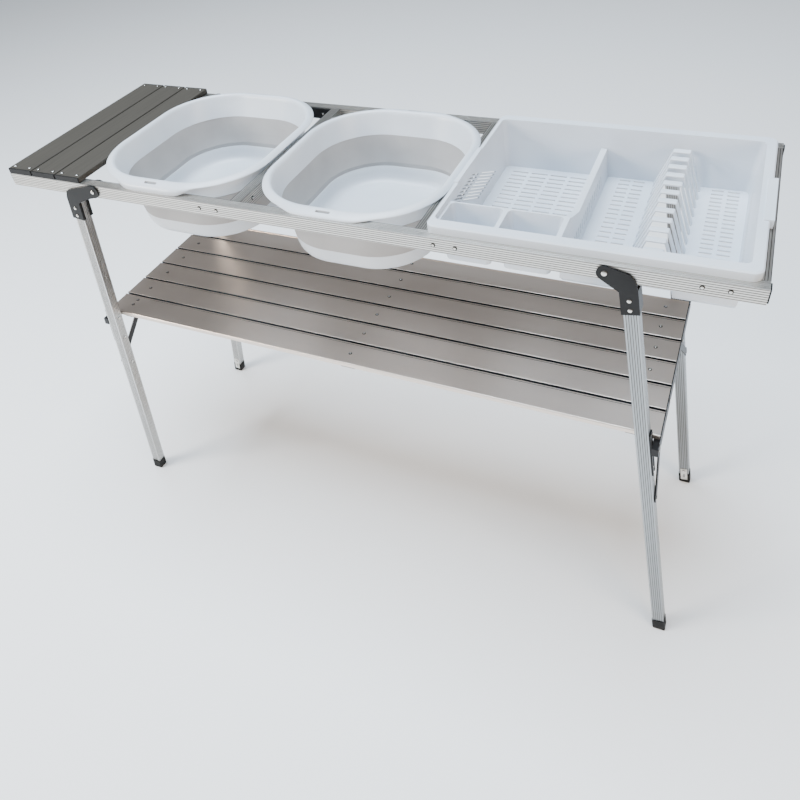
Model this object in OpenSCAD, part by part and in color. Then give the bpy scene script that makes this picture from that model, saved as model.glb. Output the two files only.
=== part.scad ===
// Folding camp wash stand.
// Two aluminium rails carry three side slats, two collapsible basins and a dish rack.
// Four splayed legs fold up under the rails; a slatted shelf hooks onto pegs in the legs.
// X runs along the rails, -Y is the front, +Z is up, and the floor is at z = 0.

/* [Frame] */
// Length of the rails
frame_len = 1300; // [1298:1:1360]
// Depth over the outer faces of the rails
frame_dep = 406; // [402:1:420]
// Height of the top of the rails
frame_top = 848; // [830:1:870]
// Width of the rail tube
tube_w = 19; // [19:0.5:20]
// Height of the rail tube
tube_h = 24; // [24:0.5:26]
// Wall of the rail tube
tube_wall = 1.6; // [1.2:0.1:2]

/* [Side slats] */
// Width of one side slat
side_slat_w = 55.2; // [50:0.2:55.2]
// Thickness of the side slats
side_slat_t = 10.5; // [9:0.1:10.5]
// Gap between neighbouring side slats
side_gap = 3; // [2:0.5:3]

/* [Legs] */
// Distance of the hinge pins from the rail ends
pin_inset = 200; // [195:1:205]
// Splay of the left legs
splay_left = 8; // [7:0.1:9]
// Splay of the right legs
splay_right = 10.2; // [9.5:0.1:10.5]
// Distance of the left leg axes from their pins
offset_left = 55; // [55:0.1:56]
// Distance of the right leg axes from their pins
offset_right = 29.5; // [29:0.1:29.5]
// Width of the leg tube along the rails
leg_w = 21; // [20:0.1:21]
// Wall of the leg tube
leg_wall = 1.4; // [1:0.1:1.6]
// Height of the rubber feet
foot_h = 28; // [24:1:34]

/* [Shelf] */
// Height of the shelf top
shelf_top = 523.5; // [521:0.5:526]
// Gap between neighbouring shelf slats
shelf_gap = 4; // [2:0.5:6]
// Thickness of the shelf slats
shelf_slat_t = 10; // [10:0.5:11]

/* [Basins] */
// How far the left rim reaches over the side slats
rim_over = 10.5; // [8:0.5:12]
// Depth of the basins below the rail tops
basin_depth = 118; // [112:1:120]

/* [Dish rack] */
// Length of the rack over its rim
rack_len = 453.5; // [451:0.5:456]
// Depth of the rack floor below the rail tops
rack_depth = 75; // [70:1:78]
// Number of plate arches
arches = 12; // [10:1:12]

/* [Hidden] */
$fn = 48;
// Clearance between parts that move past each other
gap = 0.3;
// Running clearance of pins in their bores
run_fit = 0.05;
// Small overlap of cutting bodies
cut = 1;

// Rails and cross bars
rail_y = frame_dep / 2 - tube_w / 2;
rail_in = frame_dep / 2 - tube_w;
rail_bot = frame_top - tube_h;
rail_mid = frame_top - tube_h / 2;
groove_w = 1;
groove_d = 0.4;
side_grooves = 5;
top_grooves = 4;
groove_pitch = 3.6;
plug_t = 2;
plug_in = 6;
plug_edge = 1;
plug_round = 2;
rack_in = 10;
bar_under = 0.5;
rack_x1 = frame_len / 2 - rack_in;
rack_x0 = rack_x1 - rack_len;
rack_x = (rack_x0 + rack_x1) / 2;
bar_2_x = rack_x0 + bar_under - tube_w / 2;
bar_end_x = frame_len / 2 - tube_w / 2;

// Corner brackets and the rivets that hold them
angle_l = 65;
angle_t = 3;
angle_h = 20;
rivet_r = 2;
rivet_head_r = 3.6;
rivet_top_r = 2.2;
rivet_head_h = 1.6;
rivet_tail_h = 1.2;
rivet_pitch = 34;
bar_rivet = 34;

// Side slats
side_pitch = side_slat_w + side_gap;
slat_wall = 1.5;
slat_round = 2;
slat_cap_t = 2.5;
slat_rivet_x = 18;
side_slat_x0 = -frame_len / 2 + side_slat_w / 2;
side_slats = 3;
slats_x1 = side_slat_x0 + (side_slats - 1) * side_pitch + side_slat_w / 2;

// Basins along the rails: they share the room between the side slats and the rack
rim_gap = 2;
rim_side = 12.7;
basin_nest = 0.4;
rim_hx = (bar_2_x - tube_w / 2 + basin_nest + rim_side - rim_gap - slats_x1 + rim_over) / 4;
bowl_hx = rim_hx - rim_side;
basin_2_x = bar_2_x - tube_w / 2 - bowl_hx + basin_nest;
basin_1_x = basin_2_x - 2 * rim_hx - rim_gap;
bar_1_x = (basin_1_x + basin_2_x) / 2;

// Leg hinges
pin_x = frame_len / 2 - pin_inset;
pin_z = rail_mid;
pin_r = 3;
pin_head_r = 4.6;
pin_head_h = 1.8;
pin_tail_h = 1.4;
pin_top_r = 3;
cheek_t = 2.9;
web_t = 2.4;
lip_t = 2.2;
lip_w = 6;
boss_right = 11;
boss_left = 12;
cheek_end_right = 69;
cheek_end_left = 74;
cheek_in_right = 31;
cheek_in_left = 36;
elbow_right = [[8, 8], [33, -3], [39.5, -12]];
elbow_left = [[6, 11], [25, 3], [55, -9], [64, -15]];
heel_right = [-8, -8];
heel_left = [[15, -19], [-8, -9]];
shoulder = 29;
hinge_rivets = [24, 8];
leg_half = leg_w / 2;

// Pegs through the legs, measured down from the shelf top
peg_drop = [8.5, 63.5, 138.5];
pegs = [for (d = peg_drop) shelf_top - d];
peg_r = 3;
peg_out = 2.4;
peg_tail_r = 4;
peg_tail_h = 1.2;

// Feet
cap_wall = 1.4;
cap_side = 1.5;
cap_round = 3;
cap_floor = 3;
plate_t = 1.2;
plate_hw = 7;
plate_lo = 10;
plate_hi = 45;
plate_slot_w = 3;
plate_slot_l = 12;
plate_rivet_r = 1.6;
plate_rivet_z = 38;

// Shelf
shelf_under = shelf_top - shelf_slat_t;
shelf_slats = 6;
shelf_side = 3;
shelf_slat_w = (2 * (rail_in - shelf_side) - (shelf_slats - 1) * shelf_gap) / shelf_slats;
shelf_pitch = shelf_slat_w + shelf_gap;
shelf_wall = 1.4;
shelf_edge = 4;
shelf_dish = 0.8;
batten_w = 30;
batten_h = 13;
batten_wall = 1.5;
batten_end = 12;
batten_cap = 2;
twin_rivet = 16;
leaf_t = 2.4;
leaf_w = 16;
leaf_down = 76.5;
leaf_up = 13.5;
leaf_lo = shelf_top - leaf_down;
leaf_hi = shelf_top + leaf_up;
slot_gap = 0.4;
arm_w = 10;
arm_h = 15.5;
arm_lo = shelf_under - arm_h;
stay_w = 14;
stay_end_w = 17;
stay_top_w = 15;
slot_eye = 0.15;
stay_run = 113.5;
stay_y = rail_y - stay_run;
stay_drop = 20.1;
stay_z = shelf_top - stay_drop;
pin_small_r = 1.2;
pin_small_y = 5.9;
pin_small_drop = 18.5;
pin_small_z = shelf_top - pin_small_drop;
screw_r = 1.6;
screw_head_r = 2.4;
screw_head_h = 1.5;
screw_in = [3, 2.5];
// Distance of the plane behind hooks and stays from the leg axis, and of the arm behind that
hook_off = leg_half + gap;
arm_off = hook_off + leaf_t;
// The slats end over the arms: left and right reach past the arm's inner face
shelf_over = [5.63, 5.8];
shelf_x0 = -arm_x(-1) - shelf_over[0];
shelf_x1 = arm_x(1) + shelf_over[1];
batten_in = [41, 39];
batten_off = 1;
batten_x = [shelf_x0 + batten_in[0], (shelf_x0 + shelf_x1) / 2 + batten_off, shelf_x1 - batten_in[1]];
screw_x = [shelf_x0 + screw_in[0], shelf_x1 - screw_in[1]];

// Basins
bowl_wall = 2;
rim_low = side_slat_t + gap;
rim_t = 6.2;
rim_ease = 4;
rim_lip = 8;
rim_edge = 10;
rim_hy = frame_dep / 2 - rim_edge;
bowl_side = 6;
bowl_hy = rail_in - bowl_side;
waist_in = [6.8, 13.5];
waist_hx = bowl_hx - waist_in[0];
waist_hy = bowl_hy - waist_in[1];
ledge_in = [13.5, 11.5];
ledge_hx = waist_hx - ledge_in[0];
ledge_hy = waist_hy - ledge_in[1];
foot_in = 3;
foot_hx = ledge_hx - foot_in;
foot_hy = ledge_hy - foot_in;
sole_in = [8, 9];
sole_hx = foot_hx - sole_in[0];
sole_hy = foot_hy - sole_in[1];
corner_r = 130;
bowl_r = 112;
base_r = 100;
waist_dz = 25;
ledge_dz = 85;
sole_dz = 12;
sole_t = 3;
handle_hw = 75;
handle_edge = 2;
handle_y = frame_dep / 2 - handle_edge;
handle_arc = 420;
handle_in = 15;
handle_t = 3;
handle_slot = [26, 5];
handle_slot_in = 12;
handle_slot_y = handle_y - handle_slot_in;
// The right basin sits lower, its rim clear of the side slats
basin_rise = [0, -8];

// Dish rack
rack_wall = 2.5;
rack_edge = 11;
rack_dep = frame_dep - 2 * rack_edge;
rack_rim_t = 3;
rack_rim_top = 14;
rack_rim_ease = 2;
rack_skirt_r = 14;
rack_body_r = 12;
rack_body_gap = 4.3;
rack_clear = 0.7;
rack_body_x1 = bar_end_x - tube_w / 2 - angle_t - rack_clear;
rack_body_x0 = rack_x0 + rack_body_gap;
rack_mid = (rack_body_x0 + rack_body_x1) / 2;
rack_hx = (rack_body_x1 - rack_body_x0) / 2;
rack_side = 8;
rack_hy = rail_in - rack_side;
rack_low_in = [9, 3.5];
rack_low_hx = rack_hx - rack_low_in[0];
rack_low_hy = rack_hy - rack_low_in[1];
rack_floor = frame_top - rack_depth;
slope_run = 24.5;
slope_y = slope_run - rack_low_hy;
slope_z = 22;
notch_z = 32;
lug_y0 = -65;
lug_y1 = 54;
lug_out = 5;
lug_up = 2;
lug_in = 8;
lug_drop = 11;
tray_run = 71;
tray_y = tray_run - rack_hy;
tray_z = 5;
tray_drop = 66;
tray_low = [35, 21];
tray_in = 6;
tray_split = 4;
tray_end = 188;
tray_r = 8;
rib_x = 178;
rib_w = 22;
rib_top_w = 10;
rib_top = 52;
rib_high = 78;
rib_slope = 65;
rib_spread = 11;
arch_x = 277.5;
arch_base = 77;
arch_top = 27;
arch_h = 68;
arch_t = 12;
arch_wall = 3;
arch_in = [14.5, 31.5];
arch_y0 = rack_low_hy - arch_in[0];
arch_y1 = arch_in[1] - rack_low_hy;
slot_w = 5;
wall_slot_w = 5;
wall_slot_h = 14;
wall_slot_pitch = 12.7;
wall_slots = 16;
wall_slot_y = 110;
wall_slot_z = 18;
slant_rows = 9;
slant_pitch = 11.6;
slant_w = 5;
// Slanted slots of the left wall in the first row: near and far end, each as y and height over the rail tops
slants = [[[-8, -3], [22, -17]], [[36, -22], [104, -55]]];
rib_slot_h = 18;
rib_slot_z = 12;
// Fields of floor slots: first edge, slot length, column pitch, columns, margin behind the rows, row pitch,
// and margin in front of them
floor_slots = [
    [32.5, 29, 35, 4, 21.5, 14, 80],
    [221.5, 18.5, 23.5, 2, 10.5, 14.2, 30],
    [372.5, 18.5, 25, 2, 10.5, 12.7, 25]
];

alu = [0.80, 0.80, 0.79];
slat_grey = [0.41, 0.38, 0.34];
black = [0.08, 0.08, 0.09];
silver = [0.74, 0.75, 0.76];
steel = [0.70, 0.69, 0.66];
white = [0.90, 0.92, 0.95];
band_grey = [0.63, 0.63, 0.66];

// Rectangle with rounded corners, given by its half sides
module rounded(hx, hy, r) {
    square([2 * hx, 2 * (hy - r)], center = true);
    square([2 * (hx - r), 2 * hy], center = true);
    for (x = [-1, 1], y = [-1, 1]) {
        translate([x * (hx - r), y * (hy - r)]) circle(r = r);
    }
}

// Ribbed tube section, w across and h high
module tube_section(w, h, wall) {
    difference() {
        square([w, h], center = true);
        square([w - 2 * wall, h - 2 * wall], center = true);
        for (s = [-1, 1], k = [0 : side_grooves - 1]) {
            translate([s * w / 2, (k - (side_grooves - 1) / 2) * groove_pitch])
                square([2 * groove_d, groove_w], center = true);
        }
        for (s = [-1, 1], k = [0 : top_grooves - 1]) {
            translate([(k - (top_grooves - 1) / 2) * groove_pitch, s * h / 2])
                square([groove_w, 2 * groove_d], center = true);
        }
    }
}

// Domed rivet along +Z: head above z = 0, shank down, tail below the stack
module rivet(stack, r, head_r, top_r, head_h, tail_h) {
    cylinder(h = head_h, r1 = head_r, r2 = top_r);
    translate([0, 0, -stack]) cylinder(h = stack, r = r);
    translate([0, 0, -stack - tail_h]) cylinder(h = tail_h, r1 = top_r, r2 = head_r * 0.9);
}

// Small rivet of the frame and shelf
module small_rivet(stack) {
    rivet(stack, rivet_r, rivet_head_r, rivet_top_r, rivet_head_h, rivet_tail_h);
}

// Bore for a small rivet, running down from z = cut
module small_bore(stack) {
    translate([0, 0, -stack - cut]) cylinder(h = stack + 2 * cut, r = rivet_r + run_fit);
}

// Corners that carry a bracket: bar centre, side of the bar the bracket is on, and first rivet's distance
bracket_bars = [[bar_1_x, -1, 20], [bar_2_x, 1, 16], [bar_end_x, -1, 24]];

// Places a child at each rail rivet, pointing out of the rail
module at_rail_rivets(s) {
    for (b = bracket_bars, k = [0, 1]) {
        translate([b[0] + b[1] * (tube_w / 2 + b[2] + k * rivet_pitch), s * frame_dep / 2, rail_mid])
            rotate([-s * 90, 0, 0]) children();
    }
}

// Places a child at the bracket rivet of one bar, pointing away from the bracket
module at_bar_rivets(b, s) {
    translate([b[0] - b[1] * tube_w / 2, s * (rail_in - bar_rivet), rail_mid])
        rotate([0, -b[1] * 90, 0]) children();
}

// Places a child over each slat rivet of one rail end, pointing up
module at_slat_rivets(k, s) {
    for (x = [-1, 1]) {
        translate([side_slat_x0 + k * side_pitch + x * slat_rivet_x, s * rail_y, frame_top + side_slat_t])
            children();
    }
}

module rail(s) {
    color(alu) difference() {
        translate([-frame_len / 2, s * rail_y, rail_mid])
            rotate([90, 0, 90]) linear_extrude(height = frame_len) tube_section(tube_w, tube_h, tube_wall);
        at_rail_rivets(s) small_bore(tube_w);
        for (k = [0 : side_slats - 1]) {
            at_slat_rivets(k, s) small_bore(side_slat_t + tube_wall);
        }
        for (x = [-1, 1]) {
            translate([x * pin_x, s * rail_y, pin_z]) rotate([90, 0, 0])
                cylinder(h = tube_w + 2 * cut, r = pin_r + run_fit, center = true);
        }
    }
}

module rail_front() { rail(-1); }
module rail_rear() { rail(1); }

module rail_plugs() {
    color(black) for (x = [-1, 1], s = [-1, 1]) {
        translate([x * frame_len / 2, s * rail_y, rail_mid]) {
            rotate([0, x * 90, 0]) linear_extrude(height = plug_t)
                rounded(tube_h / 2 - plug_edge, tube_w / 2 - plug_edge, plug_round);
            rotate([0, -x * 90, 0]) linear_extrude(height = plug_in)
                rounded(tube_h / 2 - tube_wall - run_fit, tube_w / 2 - tube_wall - run_fit, plug_round / 2);
        }
    }
}

// Cross bar between the rails, lying along Y
module cross_bar(b) {
    color(alu) difference() {
        translate([b[0], rail_in, rail_mid])
            rotate([90, 0, 0]) linear_extrude(height = 2 * rail_in) tube_section(tube_w, tube_h, tube_wall);
        for (s = [-1, 1]) {
            at_bar_rivets(b, s) small_bore(tube_w);
        }
    }
}

module cross_bar_left() { cross_bar(bracket_bars[0]); }
module cross_bar_middle() { cross_bar(bracket_bars[1]); }
module end_bar() { cross_bar(bracket_bars[2]); }

module corner_brackets() {
    color(black) for (b = bracket_bars, s = [-1, 1]) {
        difference() {
            translate([b[0] + b[1] * tube_w / 2, s * rail_in, rail_mid - angle_h / 2]) {
                mirror([b[1] < 0 ? 1 : 0, 0, 0]) mirror([0, s > 0 ? 1 : 0, 0]) {
                    cube([angle_t, angle_l, angle_h]);
                    cube([angle_l, angle_t, angle_h]);
                }
            }
            at_bar_rivets(b, s) small_bore(tube_w + angle_t);
            at_rail_rivets(s) small_bore(tube_w + angle_t);
        }
    }
}

module frame_rivets() {
    color(steel) {
        for (s = [-1, 1]) {
            at_rail_rivets(s) small_rivet(tube_w + angle_t);
            for (b = bracket_bars) {
                at_bar_rivets(b, s) small_rivet(tube_w + angle_t);
            }
        }
    }
}

// One hollow side slat, lying across both rails
module side_slat(k) {
    len = frame_dep - 2 * slat_cap_t;
    color(slat_grey) difference() {
        translate([side_slat_x0 + k * side_pitch, len / 2, frame_top + side_slat_t / 2])
            rotate([90, 0, 0]) linear_extrude(height = len) difference() {
                rounded(side_slat_w / 2, side_slat_t / 2, slat_round);
                square([side_slat_w - 2 * slat_wall, side_slat_t - 2 * slat_wall], center = true);
            }
        for (s = [-1, 1]) {
            at_slat_rivets(k, s) small_bore(side_slat_t);
        }
    }
}

module side_slat_1() { side_slat(0); }
module side_slat_2() { side_slat(1); }
module side_slat_3() { side_slat(2); }

module side_slat_caps() {
    color(black) for (k = [0 : side_slats - 1], s = [-1, 1]) {
        translate([side_slat_x0 + k * side_pitch, s * frame_dep / 2, frame_top + side_slat_t / 2])
            rotate([s * 90, 0, 0]) linear_extrude(height = slat_cap_t)
                rounded(side_slat_w / 2, side_slat_t / 2, slat_round);
    }
}

module side_slat_rivets() {
    color(steel) for (k = [0 : side_slats - 1], s = [-1, 1]) {
        at_slat_rivets(k, s) small_rivet(side_slat_t + tube_wall);
    }
}

module hinge_pins() {
    span = tube_w / 2 + gap + cheek_t;
    color(steel) for (x = [-1, 1], s = [-1, 1]) {
        translate([x * pin_x, s * (rail_y + span), pin_z]) rotate([-s * 90, 0, 0])
            rivet(2 * span, pin_r, pin_head_r, pin_top_r, pin_head_h, pin_tail_h);
    }
}

// Splay and axis offset of a side: 1 is right, -1 is left
function splay(x) = x > 0 ? splay_right : splay_left;
function offset_of(x) = x > 0 ? offset_right : offset_left;

// Distance of an arm's inner face from the middle of the stand, at the arm's lower edge
function arm_x(x) = pin_x + (offset_of(x) + arm_off) / cos(splay(x)) + (pin_z - arm_lo) * tan(splay(x));

// Distance along the leg from the pin to a height above the floor
function along(x, z) = (pin_z - z + offset_of(x) * sin(splay(x))) / cos(splay(x));

// Frame of one side: origin at the pin axis, X away from the leg's inner face, -Z down the leg
module at_side(x) {
    mirror([x < 0 ? 1 : 0, 0, 0]) translate([pin_x, 0, pin_z]) rotate([0, -splay(x), 0]) children();
}

// Frame of one leg: as at_side, at the middle of its rail, +Y towards the middle of the stand
module at_leg(x, s) {
    mirror([0, s > 0 ? 1 : 0, 0]) at_side(x) translate([0, -rail_y, 0]) children();
}

// Solid outline of one leg, cut flat under the rail and above the foot's floor
module leg_body(x, s, w, d) {
    intersection() {
        at_leg(x, s) translate([offset_of(x) - w / 2, -d / 2, -frame_top * 1.2])
            cube([w, d, frame_top * 1.3]);
        translate([-frame_len, -frame_dep, cap_floor])
            cube([2 * frame_len, 2 * frame_dep, rail_bot - gap - cap_floor]);
    }
}

// Ribs cut into the faces of a leg
module leg_grooves(x, s) {
    for (f = [-1, 1], k = [0 : top_grooves - 1]) {
        at_leg(x, s) {
            translate([offset_of(x) + (k - (top_grooves - 1) / 2) * groove_pitch, f * tube_w / 2, 0])
                cube([groove_w, 2 * groove_d, 3 * frame_top], center = true);
            translate([offset_of(x) + f * leg_half, (k - (top_grooves - 1) / 2) * groove_pitch, 0])
                cube([2 * groove_d, groove_w, 3 * frame_top], center = true);
        }
    }
}

// Places a child at each hinge rivet of a leg, on the outer cheek, pointing out
module at_hinge_rivets(x, s) {
    for (d = hinge_rivets) {
        at_leg(x, s) translate([offset_of(x), -tube_w / 2 - gap - cheek_t, -cheek_end(x) + d])
            rotate([90, 0, 0]) children();
    }
}

// Places a child at each peg of a leg, on the outer face, pointing out
module at_pegs(x, s) {
    for (z = pegs) {
        at_leg(x, s) translate([offset_of(x) + leg_half, 0, -along(x, z)])
            rotate([0, 90, 0]) children();
    }
}

// Places a child at the rivet of a foot plate, on the plate, pointing to the middle
module at_plate_rivet(x, s) {
    at_leg(x, s) translate([offset_of(x), tube_w / 2 + plate_t, -along(x, plate_rivet_z)])
        rotate([-90, 0, 0]) children();
}

function cheek_end(x) = x > 0 ? cheek_end_right : cheek_end_left;
function cheek_in(x) = x > 0 ? cheek_in_right : cheek_in_left;

module leg(x, s) {
    span = tube_w + 2 * gap + 2 * cheek_t;
    color(alu) difference() {
        leg_body(x, s, leg_w, tube_w);
        at_leg(x, s) translate([offset_of(x), 0, 0])
            cube([leg_w - 2 * leg_wall, tube_w - 2 * leg_wall, 3 * frame_top], center = true);
        leg_grooves(x, s);
        at_hinge_rivets(x, s) small_bore(span);
        at_pegs(x, s) translate([0, 0, -leg_w - cut]) cylinder(h = leg_w + 2 * cut, r = peg_r + run_fit);
        at_plate_rivet(x, s) translate([0, 0, -plate_t - 2 * leg_wall])
            cylinder(h = plate_t + 2 * leg_wall, r = plate_rivet_r + run_fit);
    }
}

module leg_fl() { leg(-1, -1); }
module leg_rl() { leg(-1, 1); }
module leg_fr() { leg(1, -1); }
module leg_rr() { leg(1, 1); }

// Flat outline of one cheek, seen from the front
module cheek_outline(x) {
    outer = offset_of(x) + leg_half + web_t;
    inner = offset_of(x) - leg_half - lip_t;
    circle(r = x > 0 ? boss_right : boss_left);
    polygon(concat(
        x > 0 ? elbow_right : elbow_left,
        [[outer, -shoulder], [outer, -cheek_end(x)], [inner, -cheek_end(x)], [inner, -cheek_in(x)]],
        x > 0 ? [heel_right] : heel_left
    ));
}

// Black clevis that clasps the top of a leg and straddles the rail
module hinge(x, s) {
    span = tube_w + 2 * gap + 2 * cheek_t;
    clasp = cheek_end(x) - cheek_in(x);
    lined = tube_w / 2 + gap + cheek_t / 2;
    color(black) difference() {
        at_leg(x, s) {
            for (f = [-1, 1]) {
                translate([0, f * (tube_w / 2 + gap + cheek_t / 2) + cheek_t / 2, 0])
                    rotate([90, 0, 0]) linear_extrude(height = cheek_t) cheek_outline(x);
                translate([offset_of(x) - leg_half, f > 0 ? tube_w / 2 : -lined, -cheek_end(x)])
                    cube([leg_w, lined - tube_w / 2, clasp]);
                translate([offset_of(x) - leg_half - lip_t, f > 0 ? span / 2 - lip_w : -span / 2, -cheek_end(x)])
                    cube([lip_t, lip_w, clasp]);
            }
            translate([offset_of(x) + leg_half, -span / 2, -cheek_end(x)])
                cube([web_t, span, cheek_end(x) - shoulder]);
        }
        at_leg(x, s) rotate([90, 0, 0])
            cylinder(h = span + 2 * cut, r = pin_r + run_fit, center = true);
        at_hinge_rivets(x, s) small_bore(span);
    }
}

module hinge_fl() { hinge(-1, -1); }
module hinge_rl() { hinge(-1, 1); }
module hinge_fr() { hinge(1, -1); }
module hinge_rr() { hinge(1, 1); }

// Hinge rivets, shelf pegs and foot plate rivet of one leg
module leg_rivets(x, s) {
    span = tube_w + 2 * gap + 2 * cheek_t;
    color(steel) {
        at_hinge_rivets(x, s) small_rivet(span);
        at_pegs(x, s) {
            translate([0, 0, -leg_w]) cylinder(h = leg_w + peg_out, r = peg_r);
            translate([0, 0, -leg_w - peg_tail_h]) cylinder(h = peg_tail_h, r1 = peg_r, r2 = peg_tail_r);
        }
        at_plate_rivet(x, s) rivet(plate_t + leg_wall, plate_rivet_r, 2 * plate_rivet_r,
            plate_rivet_r, rivet_tail_h, rivet_tail_h);
    }
}

module leg_rivets_fl() { leg_rivets(-1, -1); }
module leg_rivets_rl() { leg_rivets(-1, 1); }
module leg_rivets_fr() { leg_rivets(1, -1); }
module leg_rivets_rr() { leg_rivets(1, 1); }

// Rubber cap on the end of a leg, flat on the floor
module foot(x, s) {
    hx = leg_half + cap_wall;
    hy = tube_w / 2 + cap_side;
    color(black) difference() {
        intersection() {
            at_leg(x, s) translate([offset_of(x), 0, -along(x, 0) - foot_h])
                linear_extrude(height = 2 * foot_h) rounded(hx, hy, cap_round);
            translate([-frame_len, -frame_dep, 0]) cube([2 * frame_len, 2 * frame_dep, frame_top]);
        }
        leg_body(x, s, leg_w, tube_w);
        at_leg(x, s) translate([offset_of(x) - plate_hw - gap, tube_w / 2, -along(x, plate_lo) - gap])
            cube([2 * (plate_hw + gap), 2 * cap_side, plate_hi]);
    }
}

module foot_fl() { foot(-1, -1); }
module foot_rl() { foot(-1, 1); }
module foot_fr() { foot(1, -1); }
module foot_rr() { foot(1, 1); }

// Bright plate on the inner face of a leg, just above the floor
module foot_plate(x, s) {
    color(steel) difference() {
        at_leg(x, s) translate([offset_of(x) - plate_hw, tube_w / 2, -along(x, plate_lo)])
            cube([2 * plate_hw, plate_t, plate_hi - plate_lo]);
        at_leg(x, s) translate([offset_of(x), tube_w / 2 + plate_t / 2, -along(x, plate_lo + plate_slot_l)])
            cube([plate_slot_w, 2 * plate_t, plate_slot_l], center = true);
        at_plate_rivet(x, s) translate([0, 0, -plate_t - cut])
            cylinder(h = plate_t + 2 * cut, r = plate_rivet_r + run_fit);
    }
}

module foot_plate_fl() { foot_plate(-1, -1); }
module foot_plate_rl() { foot_plate(-1, 1); }
module foot_plate_fr() { foot_plate(1, -1); }
module foot_plate_rr() { foot_plate(1, 1); }

// Middle of a shelf slat, counted from the front
function shelf_y(k) = (k - (shelf_slats - 1) / 2) * shelf_pitch;

// Places a child at each shelf rivet of one slat, on the dished face, pointing up
module at_shelf_rivets(k) {
    for (x = batten_x) {
        translate([x, shelf_y(k), shelf_top - shelf_dish]) children();
    }
    if (k == 0) {
        translate([batten_x[0], shelf_y(k) + twin_rivet, shelf_top - shelf_dish]) children();
    }
}

// Places a child at each screw of an arm, under the arm, pointing up
module at_arm_screws(x) {
    for (k = [0 : shelf_slats - 1]) {
        translate([x > 0 ? screw_x[1] : screw_x[0], shelf_y(k), arm_lo]) children();
    }
}

// One silver shelf slat with raised edges
module shelf_slat(k) {
    depth = shelf_slat_t - shelf_dish;
    color(silver) difference() {
        translate([shelf_x0, shelf_y(k), shelf_under])
            rotate([90, 0, 90]) linear_extrude(height = shelf_x1 - shelf_x0) difference() {
                translate([0, shelf_slat_t / 2]) rounded(shelf_slat_w / 2, shelf_slat_t / 2, 2);
                translate([0, shelf_slat_t]) square([shelf_slat_w - 2 * shelf_edge, 2 * shelf_dish], center = true);
                translate([0, depth / 2])
                    square([shelf_slat_w - 2 * shelf_wall, depth - 2 * shelf_wall], center = true);
            }
        at_shelf_rivets(k) small_bore(shelf_slat_t);
        for (x = [-1, 1]) {
            at_arm_screws(x) cylinder(h = shelf_under - arm_lo + 2 * shelf_wall, r = screw_r + run_fit);
        }
    }
}

module shelf_slat_1() { shelf_slat(0); }
module shelf_slat_2() { shelf_slat(1); }
module shelf_slat_3() { shelf_slat(2); }
module shelf_slat_4() { shelf_slat(3); }
module shelf_slat_5() { shelf_slat(4); }
module shelf_slat_6() { shelf_slat(5); }

// Half length of the battens, caps included
batten_hl = shelf_y(shelf_slats - 1) + shelf_slat_w / 2 - batten_end;

// Hollow batten under the slats
module batten(k) {
    color(alu) difference() {
        translate([batten_x[k], batten_hl - batten_cap, shelf_under - batten_h / 2])
            rotate([90, 0, 0]) linear_extrude(height = 2 * (batten_hl - batten_cap)) difference() {
                square([batten_w, batten_h], center = true);
                square([batten_w - 2 * batten_wall, batten_h - 2 * batten_wall], center = true);
            }
        for (j = [0 : shelf_slats - 1]) {
            at_shelf_rivets(j) small_bore(shelf_slat_t + batten_wall);
        }
    }
}

module batten_left() { batten(0); }
module batten_middle() { batten(1); }
module batten_right() { batten(2); }

module batten_caps() {
    color(black) for (x = batten_x, s = [-1, 1]) {
        translate([x - batten_w / 2, s * (batten_hl - batten_cap / 2) - batten_cap / 2, shelf_under - batten_h])
            cube([batten_w, batten_cap, batten_h]);
    }
}

module shelf_rivets() {
    color(steel) for (k = [0 : shelf_slats - 1]) {
        at_shelf_rivets(k) small_rivet(shelf_slat_t - shelf_dish + batten_wall);
    }
}

// Black arm across both legs of one side, under the ends of the shelf slats
module arm(x) {
    color(black) difference() {
        intersection() {
            at_side(x) translate([offset_of(x) + arm_off, -frame_dep / 2, -frame_top])
                cube([arm_w, frame_dep, frame_top]);
            translate([-frame_len, -frame_dep, arm_lo])
                cube([2 * frame_len, 2 * frame_dep, shelf_under - arm_lo]);
        }
        at_arm_screws(x) translate([0, 0, -cut]) cylinder(h = shelf_under, r = screw_r + run_fit);
        for (s = [-1, 1]) {
            at_stay_rivet(x, s) small_bore(arm_w);
            at_hook_pins(x, s) translate([0, 0, -arm_w - cut])
                cylinder(h = arm_w + 2 * cut, r = pin_small_r + run_fit);
        }
    }
}

module arm_left() { arm(-1); }
module arm_right() { arm(1); }

// Places a child on the outer face of an arm at the upper end of a stay, pointing out
module at_stay_rivet(x, s) {
    mirror([0, s > 0 ? 1 : 0, 0]) at_side(x)
        translate([offset_of(x) + arm_off + arm_w, -stay_y, -along(x, stay_z)]) rotate([0, 90, 0]) children();
}

// Places a child on the outer face of an arm at the pins of a hook, pointing out
module at_hook_pins(x, s) {
    for (f = [-1, 1]) {
        at_leg(x, s) translate([offset_of(x) + arm_off + arm_w, f * pin_small_y, -along(x, pin_small_z)])
            rotate([0, 90, 0]) children();
    }
}

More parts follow.
